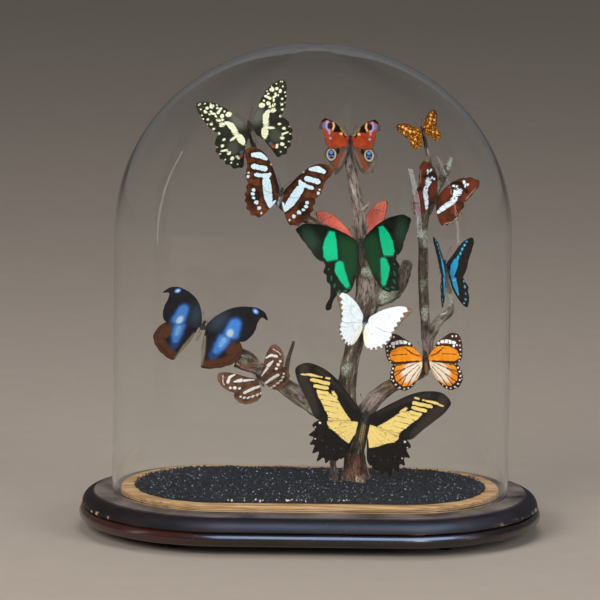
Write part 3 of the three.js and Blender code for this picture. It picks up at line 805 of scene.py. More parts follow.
# Stains and knots as (x, y, z, reach).
STAINS = {
    "lichen": [(-30, 22, 124, 7), (2, 20, 99, 6), (28, 15, 134, 6), (114, 22, 308, 9), (102, 20, 286, 6),
               (93, 20, 244, 7), (90, 20, 226, 6), (95, 20, 205, 7), (93, 20, 178, 6), (60, 20, 196, 9),
               (110, 22, 190, 8), (45, 14, 215, 5), (-56, 24, 136, 5), (30, 15, 112, 5), (74, 22, 120, 5)],
    "red": [(-60, 28, 134, 12), (36, 14, 50, 10), (20, 18, 60, 5), (70, 24, 118, 6)],
    "pale": [(40, 18, 250, 14), (36, 18, 280, 18), (29, 18, 314, 12), (44, 14, 200, 8), (38, 14, 84, 8),
             (-10, 20, 108, 10), (52, 20, 104, 8), (-40, 22, 128, 7), (92, 20, 150, 9)],
}
KNOTS = [(26, 15.5, 133, 3.4), (44, 14, 181, 3.2), (-8, 20, 106, 2.6), (38, 14, 66, 2.6), (88, 22, 129,
    2.4),
         (97, 21, 228, 1.6), (38, 17, 255, 1.8), (96, 21, 262, 1.4), (30, 16, 150, 2), (48, 14, 222, 2.4),
         (105, 20, 291, 2.2), (112, 20, 302, 2.4), (109, 27, 299, 2.2), (116, 21, 310, 1.6), (52, 15, 206,
             3),
         (38, 14, 194, 3), (24, 18, 112, 2.8), (88, 20, 196, 1.6), (60, 19, 113, 2.2), (-30, 22, 122, 2.4)]
BARK_SIDES = 40
BARK_STEP = 1.0
FORK_SWELL = 0.45
FORK_REACH = 5
TRUNK_FLARE = 0.3
TRUNK_LOBES = 3
TRUNK_FOOT = 37
print("limbs:", len(BRANCH), "snags:", len(SNAGS), "knots:", len(KNOTS))


# %% Curves and stains
def curve_between(a, b, c, d, t):
    """The smooth curve from b to c whose neighbours are a and d, at shares t of the way."""
    return 0.5 * (2 * b + (c - a) * t + (2 * a - 5 * b + 4 * c - d) * t ** 2
                  + (3 * b - a - 3 * c + d) * t ** 3)


def smooth_path(points, step):
    """A smooth curve through points of any number of columns, sampled about every step."""
    p = np.array(points, float)
    p = np.vstack([2 * p[0] - p[1], p, 2 * p[-1] - p[-2]])
    rows = []
    for i in range(1, len(p) - 2):
        length = np.linalg.norm(p[i + 1][:3] - p[i][:3])
        t = np.linspace(0, 1, max(2, int(length / step)), endpoint=False)[:, None]
        a, b, c, d = p[i - 1], p[i], p[i + 1], p[i + 2]
        rows.append(curve_between(a, b, c, d, t))
    rows.append(p[-2][None])
    return np.concatenate(rows)


def carried_frames(centres):
    """Two directions across the path at each point, carried along without twist."""
    tangents = np.gradient(centres, axis=0)
    tangents /= np.linalg.norm(tangents, axis=1)[:, None]
    side = np.cross(tangents[0], (0, 1, 0.001))
    sides = []
    for t in tangents:
        side = side - t * np.dot(side, t)
        side = side / np.linalg.norm(side)
        sides.append(side)
    sides = np.array(sides)
    return sides, np.cross(tangents, sides), tangents


def stain_distance(points, spots):
    centres = np.array([s[:3] for s in spots], float)
    reach = np.array([s[3] for s in spots], float)
    return (np.linalg.norm(points[:, None, :] - centres, axis=2) - reach).min(axis=1)


print("points along the trunk:", len(smooth_path(BRANCH["trunk"], BARK_STEP)))


# %% Grow one limb
def grow_limb(name, path, material, grown_from_other, hollow, lumps=False):
    spine = smooth_path(path, BARK_STEP)
    centres, radii = spine[:, :3], spine[:, 3].copy()
    sides, ups, tangents = carried_frames(centres)
    gone = np.concatenate([[0], np.cumsum(np.linalg.norm(np.diff(centres, axis=0), axis=1))])
    if grown_from_other:
        radii *= 1 + FORK_SWELL * np.exp(-gone / FORK_REACH)
    turns = np.arange(BARK_SIDES) / BARK_SIDES * 2 * math.pi
    seed = sum(map(ord, name)) % 97
    points, deep, places = [], [], []
    for centre, radius, side, up, along in zip(centres, radii, sides, ups, gone):
        for a in turns:
            out = side * math.cos(a) + up * math.sin(a)
            here = centre + out * radius
            ridge = noise.fractal(Vector((math.cos(a) * 2.4, math.sin(a) * 2.4, along / 16 + seed)), 0.8,
                2.2, 3)
            lump = noise.noise(Vector(here) / 11)
            crack = noise.ridged_multi_fractal(
                Vector((math.cos(a) * radius / 2.2, math.sin(a) * radius / 2.2, along / 9 + seed)), 0.9,
                2.1, 3, 1.0, 2.0)
            push = radius * (0.13 * ridge + 0.12 * lump) - 0.22 * max(0.0, crack - 1.2)
            for kx, ky, kz, reach in KNOTS:
                apart = (here[0] - kx) ** 2 + (here[1] - ky) ** 2 + (here[2] - kz) ** 2
                if apart < 9 * reach * reach:
                    push += reach * 0.62 * math.exp(-apart / (reach * reach * 0.9))
            if lumps:
                crumbs = 0.9 * noise.noise(Vector(here) / 2.6)
                push += crumbs + 0.7 * noise.noise(Vector(here) / 5 + Vector((9, 0, 0)))
            if name == "trunk":
                spread = math.exp(-(centre[2] - TRUNK_FOOT) / 7)
                push += radius * TRUNK_FLARE * math.cos(TRUNK_LOBES * a + 0.8) * spread
            points.append(here + out * push)
            deep.append(ridge * 1.3 + 0.5)
            places.append((out[0] * radius, out[1] * radius, along + seed * 7))
    rows = len(centres)
    faces = rings_to_faces(rows, BARK_SIDES)
    points, deep, places = np.array(points), np.array(deep), np.array(places)
    cut = np.zeros(len(points))
    # The far end is broken off: a ragged rim, then a dish, deep where the limb is hollow.
    rim = points[-BARK_SIDES:]
    dish = 5.0 if hollow else 0.5 * radii[-1] * -1
    last_centre = centres[-1]
    levels = [(0.9, 0.1), (0.72, 0.55), (0.4, 0.9)] if hollow else [(0.86, 0.35), (0.55, 0.8), (0.25, 0.98)]
    for share, depth in levels:
        ring = last_centre + (rim - last_centre) * share - tangents[-1] * dish * depth
        points = np.vstack([points, ring])
        faces_start = len(points) - 2 * BARK_SIDES
        faces += rings_to_faces(2, BARK_SIDES, faces_start)
        deep = np.concatenate([deep, np.zeros(BARK_SIDES)])
        places = np.vstack([places, places[-BARK_SIDES:]])
        cut = np.concatenate([cut, np.full(BARK_SIDES, 1.0 if hollow else 0.3)])
    tip = len(points)
    points = np.vstack([points, last_centre - tangents[-1] * dish, centres[0]])
    deep = np.concatenate([deep, [0, 0]])
    places = np.vstack([places, places[-1:], places[:1]])
    cut = np.concatenate([cut, [1.0 if hollow else 0.3, 0]])
    last = tip - BARK_SIDES
    for i in range(BARK_SIDES):
        j = (i + 1) % BARK_SIDES
        faces.append((last + i, last + j, tip))
        faces.append((j, i, tip + 1))
    limb = mesh_object(name + "_bark", points, faces, material)
    store(limb, "deep", deep)
    store(limb, "cut", cut)
    along_bark = limb.data.attributes.new("bark_place", "FLOAT_VECTOR", "POINT")
    along_bark.data.foreach_set("vector", (places * MM).ravel())
    for stain, spots in STAINS.items():
        store(limb, stain, stain_distance(points, spots))
    return limb


print("numbers kept at each point of bark:", 3 + len(STAINS))


# %% Grow the branch
for name, path in BRANCH.items():
    mossy = name in LICHEN_LIMBS
    limb = grow_limb(name, path, mossy_bark if mossy else dry_bark, name != "trunk", name in HOLLOW_ENDS,
        mossy)
    stand_for(limb, name, "lichen_bark" if mossy else "bark")
    print(name, "faces", len(limb.data.polygons))
for name, path in SNAGS.items():
    snag = grow_limb(name, path, mossy_bark, True, False, True)
    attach(snag, "root")
print("snags:", len(SNAGS))

# %% [markdown]
# ## Shapes of the wing markings
# A marking is a dot, a streak or a patch in the wing's own flat millimetres: x runs out from the
# body, y towards the head. Each shape answers one question for any point: how far is the point
# outside it? Kept at the mesh's points, that distance lets the finish draw a crisp or a dusty
# edge at any zoom, with no image.
# %% Dots, streaks and patches
def dot(x, y, wide, tall=None, tilt=0):
    tall = tall or wide
    a = math.radians(tilt)

    def outside(p):
        u = (p[:, 0] - x) * math.cos(a) + (p[:, 1] - y) * math.sin(a)
        v = (p[:, 1] - y) * math.cos(a) - (p[:, 0] - x) * math.sin(a)
        return (np.sqrt((u / wide) ** 2 + (v / tall) ** 2) - 1) * min(wide, tall)
    return outside


def segment_distance(p, a, b):
    """Distance of points from a line piece, and how far along it each nearest place is."""
    ab = np.subtract(b, a)
    t = np.clip(((p - a) @ ab) / max(ab @ ab, 1e-9), 0, 1)
    return np.linalg.norm(p - a - t[:, None] * ab, axis=1), t


def streak(*stops):
    """A stroke through (x, y, half width) stops."""
    def outside(p):
        best = np.full(len(p), 1e3)
        for (ax, ay, aw), (bx, by, bw) in zip(stops, stops[1:]):
            away, t = segment_distance(p, (ax, ay), (bx, by))
            best = np.minimum(best, away - (aw + (bw - aw) * t))
        return best
    return outside


def patch(*corners):
    """A filled outline."""
    ring = np.array(corners, float)

    def outside(p):
        return -inside_distance(p, ring)
    return outside


def inside_distance(p, ring):
    """Distance to a closed outline, positive inside it."""
    best = np.full(len(p), 1e3)
    inside = np.zeros(len(p), bool)
    for a, b in zip(ring, np.roll(ring, -1, axis=0)):
        best = np.minimum(best, segment_distance(p, a, b)[0])
        crosses = (a[1] > p[:, 1]) != (b[1] > p[:, 1])
        if a[1] != b[1]:
            inside ^= crosses & (p[:, 0] < (b[0] - a[0]) * (p[:, 1] - a[1]) / (b[1] - a[1]) + a[0])
    return np.where(inside, best, -best)


def dots(*places):
    return [dot(*place) for place in places]


print("marking shapes: dot, streak, patch")

# %% [markdown]
# ## Thirteen butterflies
# Every specimen is one entry: how it is set, the half outlines of its wings, its body, and its
# markings as layers from the ground colour up. A layer is a colour, the softness of its edge in
# millimetres, the wing it lies on and its shapes. Real wings are covered in tiny scales, so a
# marking's edge is ragged, and how ragged is part of the layer.
# %% The specimens
BUTTERFLIES = {
    "citrus": dict(
        at=(-53, 17, 336), heading=20, lean=-14, turn=8, lift=(12, 14), sweep=(3, -3), size=1.05,
        body=24, thorax="#23231c", abdomen="#7f7d62", antenna=15, scallop=(0.5, 1.5),
        fore=[(2, 3), (6, 10), (11, 18), (16, 25), (22, 31), (29, 35), (34, 36), (37, 34), (37, 29),
              (35, 21), (32, 13), (28, 7), (24, 3), (14, 0), (3, -2)],
        hind=[(3, 0), (14, 4), (24, 6), (29, 2), (32, -5), (32, -11), (30, -17), (27, -23), (23, -28),
              (18, -31), (14, -30), (12, -24), (8, -14), (3, -7)],
        parted=1.5, shrink=0.12, wobble=1.3,
        ground=("#20211a", "#34362a"),
        layers=[
            ("#62645c", 4, "fore", [dot(8, 10, 5, 8, -30)]),
            ("#4b4d42", 3, "hind", [dot(18, -11, 4.5, 6)]),
            ("#eeeecb", 0.3, "both", (
                dots(
                    (14, 18, 2.8, 2.3), (19.5, 18.5, 1.9), (25, 29.5, 2.1), (29, 29.3, 1.5),
                    (31, 27, 1.7), (24.5, 20, 1.4), (34, 34.2, 1.2), (34, 30, 0.9), (32, 31, 0.7),
                    (34.5, 25, 0.9), (31, 20, 1.3, 1), (29.5, 15.5, 1.5), (28.7, 11, 1.4),
                    (26, 5.5, 1.3), (29.6, 33.4, 0.8), (25.4, 32.4, 0.7), (21, 29, 0.8),
                    (34.6, 21.6, 0.8), (32.6, 16.4, 0.8), (30.6, 8.6, 0.8), (27, 25.4, 1.2),
                    (21.4, 26.6, 1.1), (16.6, 21.6, 1))
                + [
                    streak((18.5, 25.3, 1.1), (22, 22.5, 1.3)), streak((24, 22.5, 1.0), (28.5, 24, 1.2)),
                    streak((20, 15, 1.4), (24, 16.5, 1.7)), streak((16.5, 11, 1.9), (22, 12, 2.3)),
                    streak((15, 8, 2.8), (13, 1, 2.6))])),
            ("#eeeecb", 0.3, "hind", (
                dots(
                    (21, 3, 1.2), (23.3, -1.5, 1.5, 1.2), (25.8, -6, 1.6), (22.4, -14, 1.9),
                    (21, -19.5, 1.9), (26.7, -18.5, 0.9), (22.7, -23, 1), (18, -26.3, 1),
                    (29.3, -12, 0.8), (30.3, -5.5, 0.8))
                + [
                    streak((11.5, -2, 2.6), (10, -7, 3), (8.4, -12, 1.4)),
                    streak((13, -2.6, 1.4), (18, -4, 1.1)), streak((23.5, -11, 1.1), (27.5, -9.8, 1.2)),
                    streak((16, -21.5, 1.2), (17, -19.5, 1.3))])),
            ("#a8452c", 0.6, "hind", [dot(13.5, -20, 1.9, 1.5)]),
            ("#4a5f86", 0.6, "hind", [dot(12.3, -17.3, 1.5)]),
        ]),
    "barred": dict(
        at=(-27, 15, 281), heading=-13, lean=-12, turn=-5, lift=(4, 3), sweep=(1, 1), size=1.04,
        body=20, thorax="#181a24", abdomen="#9aa6b2", antenna=11, scallop=(0.6, 1.3),
        fore=[(2, 3), (6, 11), (10, 18), (15, 25), (20, 30), (26, 33), (32, 33), (36, 30), (36, 25),
              (33, 20), (32, 14), (31, 7), (27, 3), (18, 1), (4, -2)],
        hind=[(4, 0), (17, 4), (25, 5), (28, 0), (28, -9), (26, -15), (23, -21), (18, -25), (12, -25),
              (8, -20), (4, -12), (2, -6)],
        parted=0.55, shrink=0.05,
        mottled=0.7,
        ground=("#3e1f12", "#74401f"),
        layers=[
            ("#2a170e", 2.5, "both", [
                streak((18.5, 26.5, 3), (24, 28, 4.4), (29.5, 27, 3.6)),
                streak((17.5, 18, 3.8), (27, 17.7, 4)), streak((14, 12.5, 3.9), (23, 11.2, 3.4)),
                streak((14, 8, 4.8), (11.5, 1, 5.2), (9, -6, 5), (6, -12, 4)),
                streak((2, 3, 3), (11, 19, 3)), dot(20, -8, 5, 8)]),
            ("#cfe3ee", 0.3, "both", [
                streak((18.5, 26.5, 1.4), (24, 28, 2.7), (29.3, 27, 1.9)),
                streak((17.5, 18, 2.2), (26.5, 17.7, 2.4)), streak((14, 12.5, 2.2), (23, 11.2, 1.8)),
                dot(12.6, 14.6, 1.3),
                streak((14, 8, 3.3), (11.5, 1, 3.7), (9, -6, 3.4), (6, -12.5, 2))]),
            ("#cfe3ee", 0.3, "both", dots(
                (22, -2.5, 1.6), (21.8, -6, 1.7), (20.3, -9.2, 1.4), (17.3, -12.4, 2),
                (14, -16.6, 1.6, 1.9), (11.3, -20.7, 0.9, 1.3), (29, 8, 1.4), (29.3, 11.5, 1))),
            ("#e4d8b4", 0.4, "fore", [dot(13.2, 23, 1.1)]),
            ("#d8e4ee", 0.8, "hind", [streak((2.5, -9, 2.2), (4, -16, 1.6))]),
        ]),
    "peacock": dict(
        at=(30, 13, 326), heading=0, lean=-8, turn=-5, lift=(6, 9), sweep=(0, 1), size=1.05,
        body=21, thorax="#2a1b14", abdomen="#2c1f18", antenna=11, scallop=(0.5, 0.9),
        fore=[(1, 3), (5, 8), (9, 13), (14, 17), (19, 19), (22, 18), (25, 11), (22, 10), (21, 6), (20, 1),
              (18, -4), (14, -6), (8, -5), (2, -3)],
        hind=[(2, -1), (8, -3), (15, -3), (19.4, -6), (21.4, -12), (20.4, -16), (21, -19.6), (18.4, -22),
              (17.6, -25.4), (13.6, -25.4), (11.4, -28.4), (7.4, -24.4), (4.4, -18), (2.2, -9)],
        ground=("#8c2f16", "#a2401f"),
        layers=[
            ("#54423a", 1.6, "fore", [
                streak((25, 16, 3), (24, 8, 2.6), (21, 0, 2), (17, -6, 1.4), (8, -6, 0.9))]),
            ("#56463b", 2, "hind", [patch((0, 0), (22, 0), (22, -30), (0, -30))]),
            ("#8a4022", 1.8, "hind", [
                streak((9, -12, 1.4), (12.5, -22, 1.6)), streak((6, -9, 0.9), (8.5, -17, 1))]),
            ("#6f6259", 1.2, "hind", [
                streak((19.5, -5, 1.6), (19, -18, 1.8), (13, -26, 1.6), (8, -28, 1.2)),
                streak((3.4, -8, 0.9), (9, -21, 0.9))]),
            ("#150e0c", 0.5, "fore", [
                patch((7.4, 8), (8, 12.6), (13.5, 17), (13.4, 8)), dot(4.6, 5.6, 1.3, 2.2, -40),
                streak((14, 17.6, 1.2), (19, 19, 1.3), (22.6, 16.6, 1.1))]),
            ("#d9b06c", 0.5, "fore", [
                dot(7.2, 6.6, 1.3, 1), streak((13.4, 15.8, 0.6), (12.9, 12.4, 0.8), (14, 9.8, 0.6)),
                streak((3, 5, 0.3), (8, 11.8, 0.4))]),
            ("#9a90b4", 0.7, "fore", [
                streak((18, 16, 1.3), (18.6, 12.6, 1.6), (16.6, 9, 1.2)), dot(15.8, 3, 1),
                dot(16.6, 7, 0.9)]),
            ("#4f6cae", 0.9, "fore", [dot(20.6, 13, 1.1, 2.2)]),
            ("#2c1414", 0.5, "fore", [dot(16, 13, 2.1, 2.8)]),
            ("#1c1310", 0.6, "hind", [dot(9.8, -7.6, 1.3, 2.6)]),
            ("#1c1512", 0.6, "hind", [dot(15, -10.8, 4.7, 6)]),
            ("#b0a390", 0.6, "hind", [dot(15, -10.8, 3.9, 5.2)]),
            ("#141b2e", 0.5, "hind", [dot(15, -10.4, 2.6, 4)]),
            ("#5a84c4", 0.6, "hind", dots((15, -8.9, 1.5), (14, -12, 0.8), (16.3, -12.2, 0.8))),
        ]),
}
print("butterflies so far:", len(BUTTERFLIES))

# %% Specimens on the right
BUTTERFLIES |= {
    "chequered": dict(
        at=(90, 16, 336), heading=25, lean=0, turn=-16, lift=(10, 19), sweep=(-4, -2), size=1,
        body=12, thorax="#3a2a1c", abdomen="#6a5034", antenna=7, scallop=(0.0, 0.2),
        fore=[(2, 2), (5, 6), (9, 10), (14, 13), (18, 13), (19, 9), (17, 4), (14, -1), (9, -3), (3, -2)],
        hind=[(3, 0), (9, -1), (14, -3), (15, -8), (12, -12), (8, -12), (5, -8), (2, -4)],
        ground=("#d9780d", "#f39a20"), lattice=("#321b0c", 1.9),
        layers=[
            ("#e9b46a", 0.5, "both", dots(
                (10, 4, 1), (12, 7, 1), (14, 9.5, 0.9), (15, 5, 0.9), (7, 2, 0.8), (9, -4, 1),
                (12, -6, 0.9))),
            ("#42260f", 0.5, "both", (
                [
                    streak((5, 7, 0.4), (14, 13.4, 0.6), (18.6, 13, 0.8), (19, 8, 0.7), (14, -1, 0.6))]
                + dots(
                    (8, 7, 0.8), (11, 9.5, 0.8), (13, 4.6, 0.7), (10.4, 1, 0.8), (7, -4, 0.8),
                    (10, -8, 0.8), (13, -8.6, 0.7)))),
        ]),
    "whiteband": dict(
        at=(101, 18, 276), heading=-20, lean=-1, turn=4, lift=(43, 40), sweep=(15, 15), size=0.96,
        body=20, thorax="#20160f", abdomen="#4a3422", antenna=12, scallop=(0.9, 1.7),
        fore=[(2, 3), (9, 13), (17, 20), (26, 24), (35, 25), (41, 23), (42, 19), (39, 14), (35, 8), (30, 3),
              (20, 1), (3, -2)],
        hind=[(3, 0), (20, 4), (28, 3), (29, -4), (26, -12), (21, -17), (14, -20), (8, -20), (5, -14),
              (2, -6)],
        parted=2.6, wobble=1.6,
        mottled=0.8,
        ground=("#3a2016", "#5a321e"),
        layers=[
            ("#6d301b", 3, "both", [
                dot(10, 7, 4, 6, -30), dot(36, 19, 4, 6), dot(31, 8, 3, 5), dot(21, -5, 4, 5),
                dot(11, -15, 5, 3)]),
            ("#241510", 1.4, "both", [
                streak((15, 17, 1.5), (22, 19, 1.6), (31, 12, 1.5)), dot(20, -10, 0.8), dot(24, -5, 0.8),
                dot(15, -14, 0.8), dot(9, -16, 0.8)]),
            ("#e3edf8", 0.35, "both", [
                streak((16.5, 15.4, 0.9), (21, 15.2, 1)),
                patch(
                    (17.6, 12.6), (22, 14), (26.6, 13.6), (26, 9), (23, 7), (22.6, 2.6), (17.6, 2.6),
                    (18, 8)),
                streak((19, 3, 2.7), (16.5, 0.5, 2.4), (12, -3, 2.5), (7.6, -7, 2.4), (4.5, -9.6, 1.2)),
                streak((26.4, 20.4, 1.3), (28, 18.6, 1.3)), dot(30.6, 18.4, 1.2), dot(28.6, 16, 1)]),
            ("#b39a84", 0.6, "both", [
                streak((27.4, -5, 0.4), (25, -11.6, 0.4), (20, -16, 0.4), (12, -18.6, 0.4)),
                streak((38.6, 16, 0.3), (31, 5.6, 0.3))]),
        ]),
    "coral": dict(
        at=(37, 31, 236), heading=-10, lean=0, turn=180, lift=(16, 16), sweep=(0, 0), size=1.04,
        body=20, thorax="#4a2a22", abdomen="#b4503e", antenna=10, scallop=(0.2, 0.4),
        fore=[(2, 3), (5, 11), (10, 19), (16, 26), (23, 30), (29, 30), (29, 25), (26, 17), (22, 9), (17, 3),
              (3, -2)],
        hind=[(3, 0), (16, 5), (22, 0), (22, -11), (18, -18), (12, -20), (7, -18), (4, -10)],
        face_down=True,
        ground=("#ff7460", "#ff8f7a"), mottled=0.1,
        layers=[
            ("#34170f", 0.35, "fore", dots(
                (19, 27, 0.5), (21.4, 26.6, 0.5), (23.6, 26, 0.5), (25.8, 24.6, 0.5), (18, 24.4, 0.5),
                (20.4, 23.6, 0.5), (22.8, 22.8, 0.5), (25, 21.6, 0.5), (20, 21, 0.4), (22.4, 20, 0.4),
                (24.4, 18.8, 0.4), (27, 27, 0.5))),
            ("#5c241a", 0.6, "fore", [
                streak((29.6, 31, 0.9), (29.4, 25, 0.8), (26.4, 17, 0.6), (22, 9, 0.5))]),
            ("#5c241a", 0.6, "hind", [
                streak((22.6, 0, 0.6), (22.6, -11, 0.6), (18, -18.6, 0.6), (12, -20.6, 0.5))]),
        ]),
    "emerald": dict(
        at=(40, 11, 238), heading=1, lean=-9, turn=-7, lift=(17, 23), sweep=(-4, 10), size=1.07,
        body=28, thorax="#10150f", abdomen="#171d15", antenna=14, scallop=(0.5, 1.9),
        fore=[(3, 4), (8, 10), (16, 16), (25, 21), (34, 24), (43, 25), (49, 22), (48, 17), (44, 10), (40,
            3),
              (36, -4), (30, -8), (18, -7), (4, -3)],
        hind=[(4, -1), (18, -5), (28, -6), (31, -12), (31, -20), (29, -26), (28, -32), (28, -38), (32, -45),
              (32, -50), (29, -50), (27, -44), (24, -40), (18, -38), (12, -37), (8, -29), (4, -16)],
        broken_tail=[(28, -32), (25, -38), (18, -38)],
        parted=0.5,
        ground=("#0a0f0b", "#141c14"), glitter=0.3, glitter_layer=3, mottled=0.6, grainy=0.7,
        layers=[
            ("#0a3d20", 4.5, "both", [patch((3, 3), (10, 9), (17, 12), (17, -6), (14, -30), (5, -20))]),
            ("#243a2d", 5, "fore", [dot(39, 12, 5, 9, -20)]),
            ("#04895a", 1.6, "both", [
                patch(
                    (19.6, 15.6), (23.8, 16.6), (27.4, 10.6), (29.6, 4), (29.6, -4), (27.4, -8.4),
                    (19.4, -8.4), (19, 0), (19, 8)),
                streak((18, -12.6, 3.4), (18.4, -17, 3.9), (16.2, -24, 3.1), (13.6, -31, 2))]),
            ("#00d094", 0.5, "both", [
                patch(
                    (19.6, 15.4), (23.4, 16.2), (27.4, 10.8), (29.8, 4), (29.8, -4), (27.6, -7.8),
                    (19.2, -7.8), (18.8, 0), (18.8, 8)),
                streak((18.2, -12.6, 3.2), (18.4, -17, 3.9), (16.4, -24, 3.2), (14, -30.4, 1.8))]),
            ("#1f7a52", 0.7, "hind", [
                streak((25.4, -21, 0.5), (25.6, -24, 0.6)), streak((23.4, -28, 0.6), (24, -30.4, 0.6)),
                streak((20, -34, 0.6), (22, -34.8, 0.6)), streak((14.6, -34.6, 0.6), (17, -35.4, 0.6)),
                dot(27, -15, 0.7), dot(12, -33, 0.7)]),
        ]),
    "bluebottle": dict(
        at=(110, 18, 219), heading=6, lean=5, turn=15, lift=(64, 53), sweep=(13, 3), size=0.95,
        body=26, thorax="#22262c", abdomen="#5c6470", antenna=13, scallop=(0.3, 1.5),
        fore=[(2, 3), (7, 8), (14, 14), (21, 20), (28, 24), (34, 25), (35, 21), (32, 14), (28, 7), (25, 0),
              (21, -6), (17, -10), (11, -9), (3, -4)],
        hind=[(3, -2), (11, -6), (17, -8), (21, -14), (22, -21), (21, -27), (20, -33), (16, -36), (12, -34),
              (8, -27), (4, -15)],
        parted=0.7,
        ground=("#0d0a09", "#1b1512"),
        layers=[
            ("#27b4e6", 0.35, "both", [
                streak((7, -6, 2.6), (10, 0, 3.6), (13.6, 5, 2.9)), dot(16.8, 8.4, 1.7, 2.4, -40),
                dot(19.8, 12, 1.4, 2, -40), dot(22.6, 15.8, 1.3, 1.7, -40), dot(25.4, 19, 1.1, 1.4, -40),
                dot(28, 22, 0.9)]),
            ("#27b4e6", 0.35, "hind", [streak((8, -9, 3), (8.6, -15, 2.6), (10, -24, 0.9))]),
            ("#a8dcec", 0.5, "both", [
                dot(19.8, 12, 0.5, 0.9, -40), dot(25.4, 19, 0.5), dot(8, -11, 1.4, 1)]),
            ("#62a6be", 0.4, "hind", dots(
                (18.6, -12.6, 0.9, 1), (18.6, -17.6, 0.9, 1.5), (18.4, -23.6, 0.9, 1.3),
                (16.6, -28.8, 1.2, 1), (14.4, -32, 1.6, 0.7))),
        ]),
}
print("butterflies so far:", len(BUTTERFLIES))

# %% Specimens in the middle
BUTTERFLIES |= {
    "white": dict(
        at=(44, 10, 176), heading=-9, lean=0, turn=9, lift=(32, 26), sweep=(2, -7), size=1.04,
        body=17, thorax="#333c48", abdomen="#cdd2d4", antenna=9, scallop=(0.1, 0.4),
        fore=[(3, 3), (7, 8), (12, 13), (18, 17), (24, 20), (30, 21), (34, 20), (33, 15), (30, 10), (28, 5),
              (26, 0), (22, -3), (13, -3), (4, -2)],
        hind=[(4, 0), (13, 0), (22, -1), (25, -6), (23, -13), (19, -18), (14, -21), (9, -22), (5, -19),
              (2, -12), (1, -6)],
        ground=("#e9f3f9", "#fbfeff"), mottled=0.12, veins=("#a9b7c0", 0.3, 0.6),
        layers=[
            ("#efe9d2", 3, "hind", [patch((0, -4), (5, -6), (9, -22), (2, -16))]),
            ("#7d5f49", 0.5, "fore", [
                patch(
                    (37, 23), (29, 21), (31.6, 18), (27.6, 15.6), (30, 13), (26.4, 11), (28.4, 8.6),
                    (25, 6.6), (27, 4.2), (24.4, 2), (26, -1), (30, -2), (40, 10))]),
            ("#8b6a55", 0.5, "hind", dots(
                (24.4, -7, 1.3), (23, -11.4, 1.4), (20.6, -15, 1.5), (17.2, -18, 1.5), (13.6, -20, 1.3),
                (10, -21.2, 0.9))),
        ]),
    "tiger": dict(
        at=(95, 15, 143), heading=4, lean=-4, turn=-10, lift=(5, 12), sweep=(-2, -1), size=1.03,
        body=23, thorax="#1c1512", abdomen="#a8662c", antenna=11, scallop=(0.1, 0.4),
        fore=[(3, 2), (7, 8), (11, 14), (16, 18), (22, 22), (27, 22), (30, 20), (32, 14), (32, 7), (31, 1),
              (27, -3), (18, -3), (4, -2)],
        hind=[(4, 0), (15, 0), (24, -1), (29, -6), (31, -13), (30, -19), (26, -24), (20, -26), (14, -24),
              (9, -18), (4, -9)],
        ground=("#e8830f", "#f79a1c"), veins=("#3c2010", 0.2, 0.2), plain_fore_veins=True,
        layers=[
            ("#f0dfc8", 3.2, "hind", [
                patch((2, -2), (15, -3), (21, -10), (19, -19), (11, -19), (3, -9))]),
            ("#5f3216", 0.3, "hind", [
                streak((5, -1.4, 0.3), (17, -3.4, 0.4), (28, -5, 0.5)),
                streak((5, -2.4, 0.3), (17, -7, 0.4), (29, -10.6, 0.5)),
                streak((17, -7, 0.3), (28.6, -14.6, 0.5)),
                streak((5, -4, 0.3), (15.6, -11.4, 0.4), (26.6, -19.4, 0.5)),
                streak((15.6, -11.4, 0.3), (23, -22.6, 0.5)),
                streak((4.6, -6, 0.3), (12, -14, 0.4), (18.4, -24, 0.5)),
                streak((4, -8, 0.3), (9, -15, 0.3), (13.4, -22, 0.4))]),
            ("#3f2114", 0.4, "fore", [
                patch(
                    (4, 5), (9, 9.6), (15, 11.4), (22, 10.8), (27, 8.6), (29, 5), (28.6, 1), (25, -1),
                    (6, -1.2), (4, -4), (34, -5), (36, 24), (12, 24)),
                streak((5, 2.4, 0.5), (10, 4.4, 0.5), (15.6, 9.6, 0.6)),
                streak((15, 4.8, 0.3), (27, 4.6, 0.4))]),
            ("#2a1710", 0.5, "hind", [
                streak(
                    (23, -0.4, 1.2), (28.4, -6, 2.4), (30, -13, 2.8), (28, -20, 2.9), (21, -25, 2.6),
                    (14, -23.6, 2), (9.6, -19, 0.9))]),
            ("#f0eeee", 0.3, "fore", [
                streak((14.8, 14.6, 1.3), (19, 15.2, 1.7), (25.6, 14.2, 1.3)), dot(12, 13.2, 1.1),
                dot(25, 11.6, 1.1), dot(24, 19.6, 0.8), dot(27.4, 19.8, 0.8), dot(27.8, 12.4, 0.8),
                dot(30, 16, 0.6), dot(30.4, 12, 0.7), dot(30.4, 8.6, 0.7), dot(30.4, 5, 0.6),
                dot(29.6, 2, 0.6), dot(29, -0.8, 0.6), dot(9, 10.6, 0.7)]),
            ("#2a1710", 0.25, "fore", [
                streak((17.2, 17.4, 0.3), (16.8, 12, 0.3)), streak((20.6, 17.6, 0.3), (20, 12, 0.3)),
                streak((23.6, 17, 0.3), (23, 12, 0.3))]),
            ("#e9e6e2", 0.3, "hind", dots(
                (25.6, -3.6, 0.7), (27.6, -6.6, 0.8), (28.6, -10, 0.8), (29, -13.6, 0.8),
                (28.2, -17, 0.8), (26.4, -20.4, 0.8), (23.6, -23, 0.8), (20, -24.4, 0.8),
                (16.6, -23.8, 0.7), (29.6, -8, 0.5), (30.4, -12, 0.5), (30, -16, 0.5), (28, -20.6, 0.5),
                (25, -23.6, 0.5), (13.6, -22, 0.6))),
        ]),
}
print("butterflies so far:", len(BUTTERFLIES))

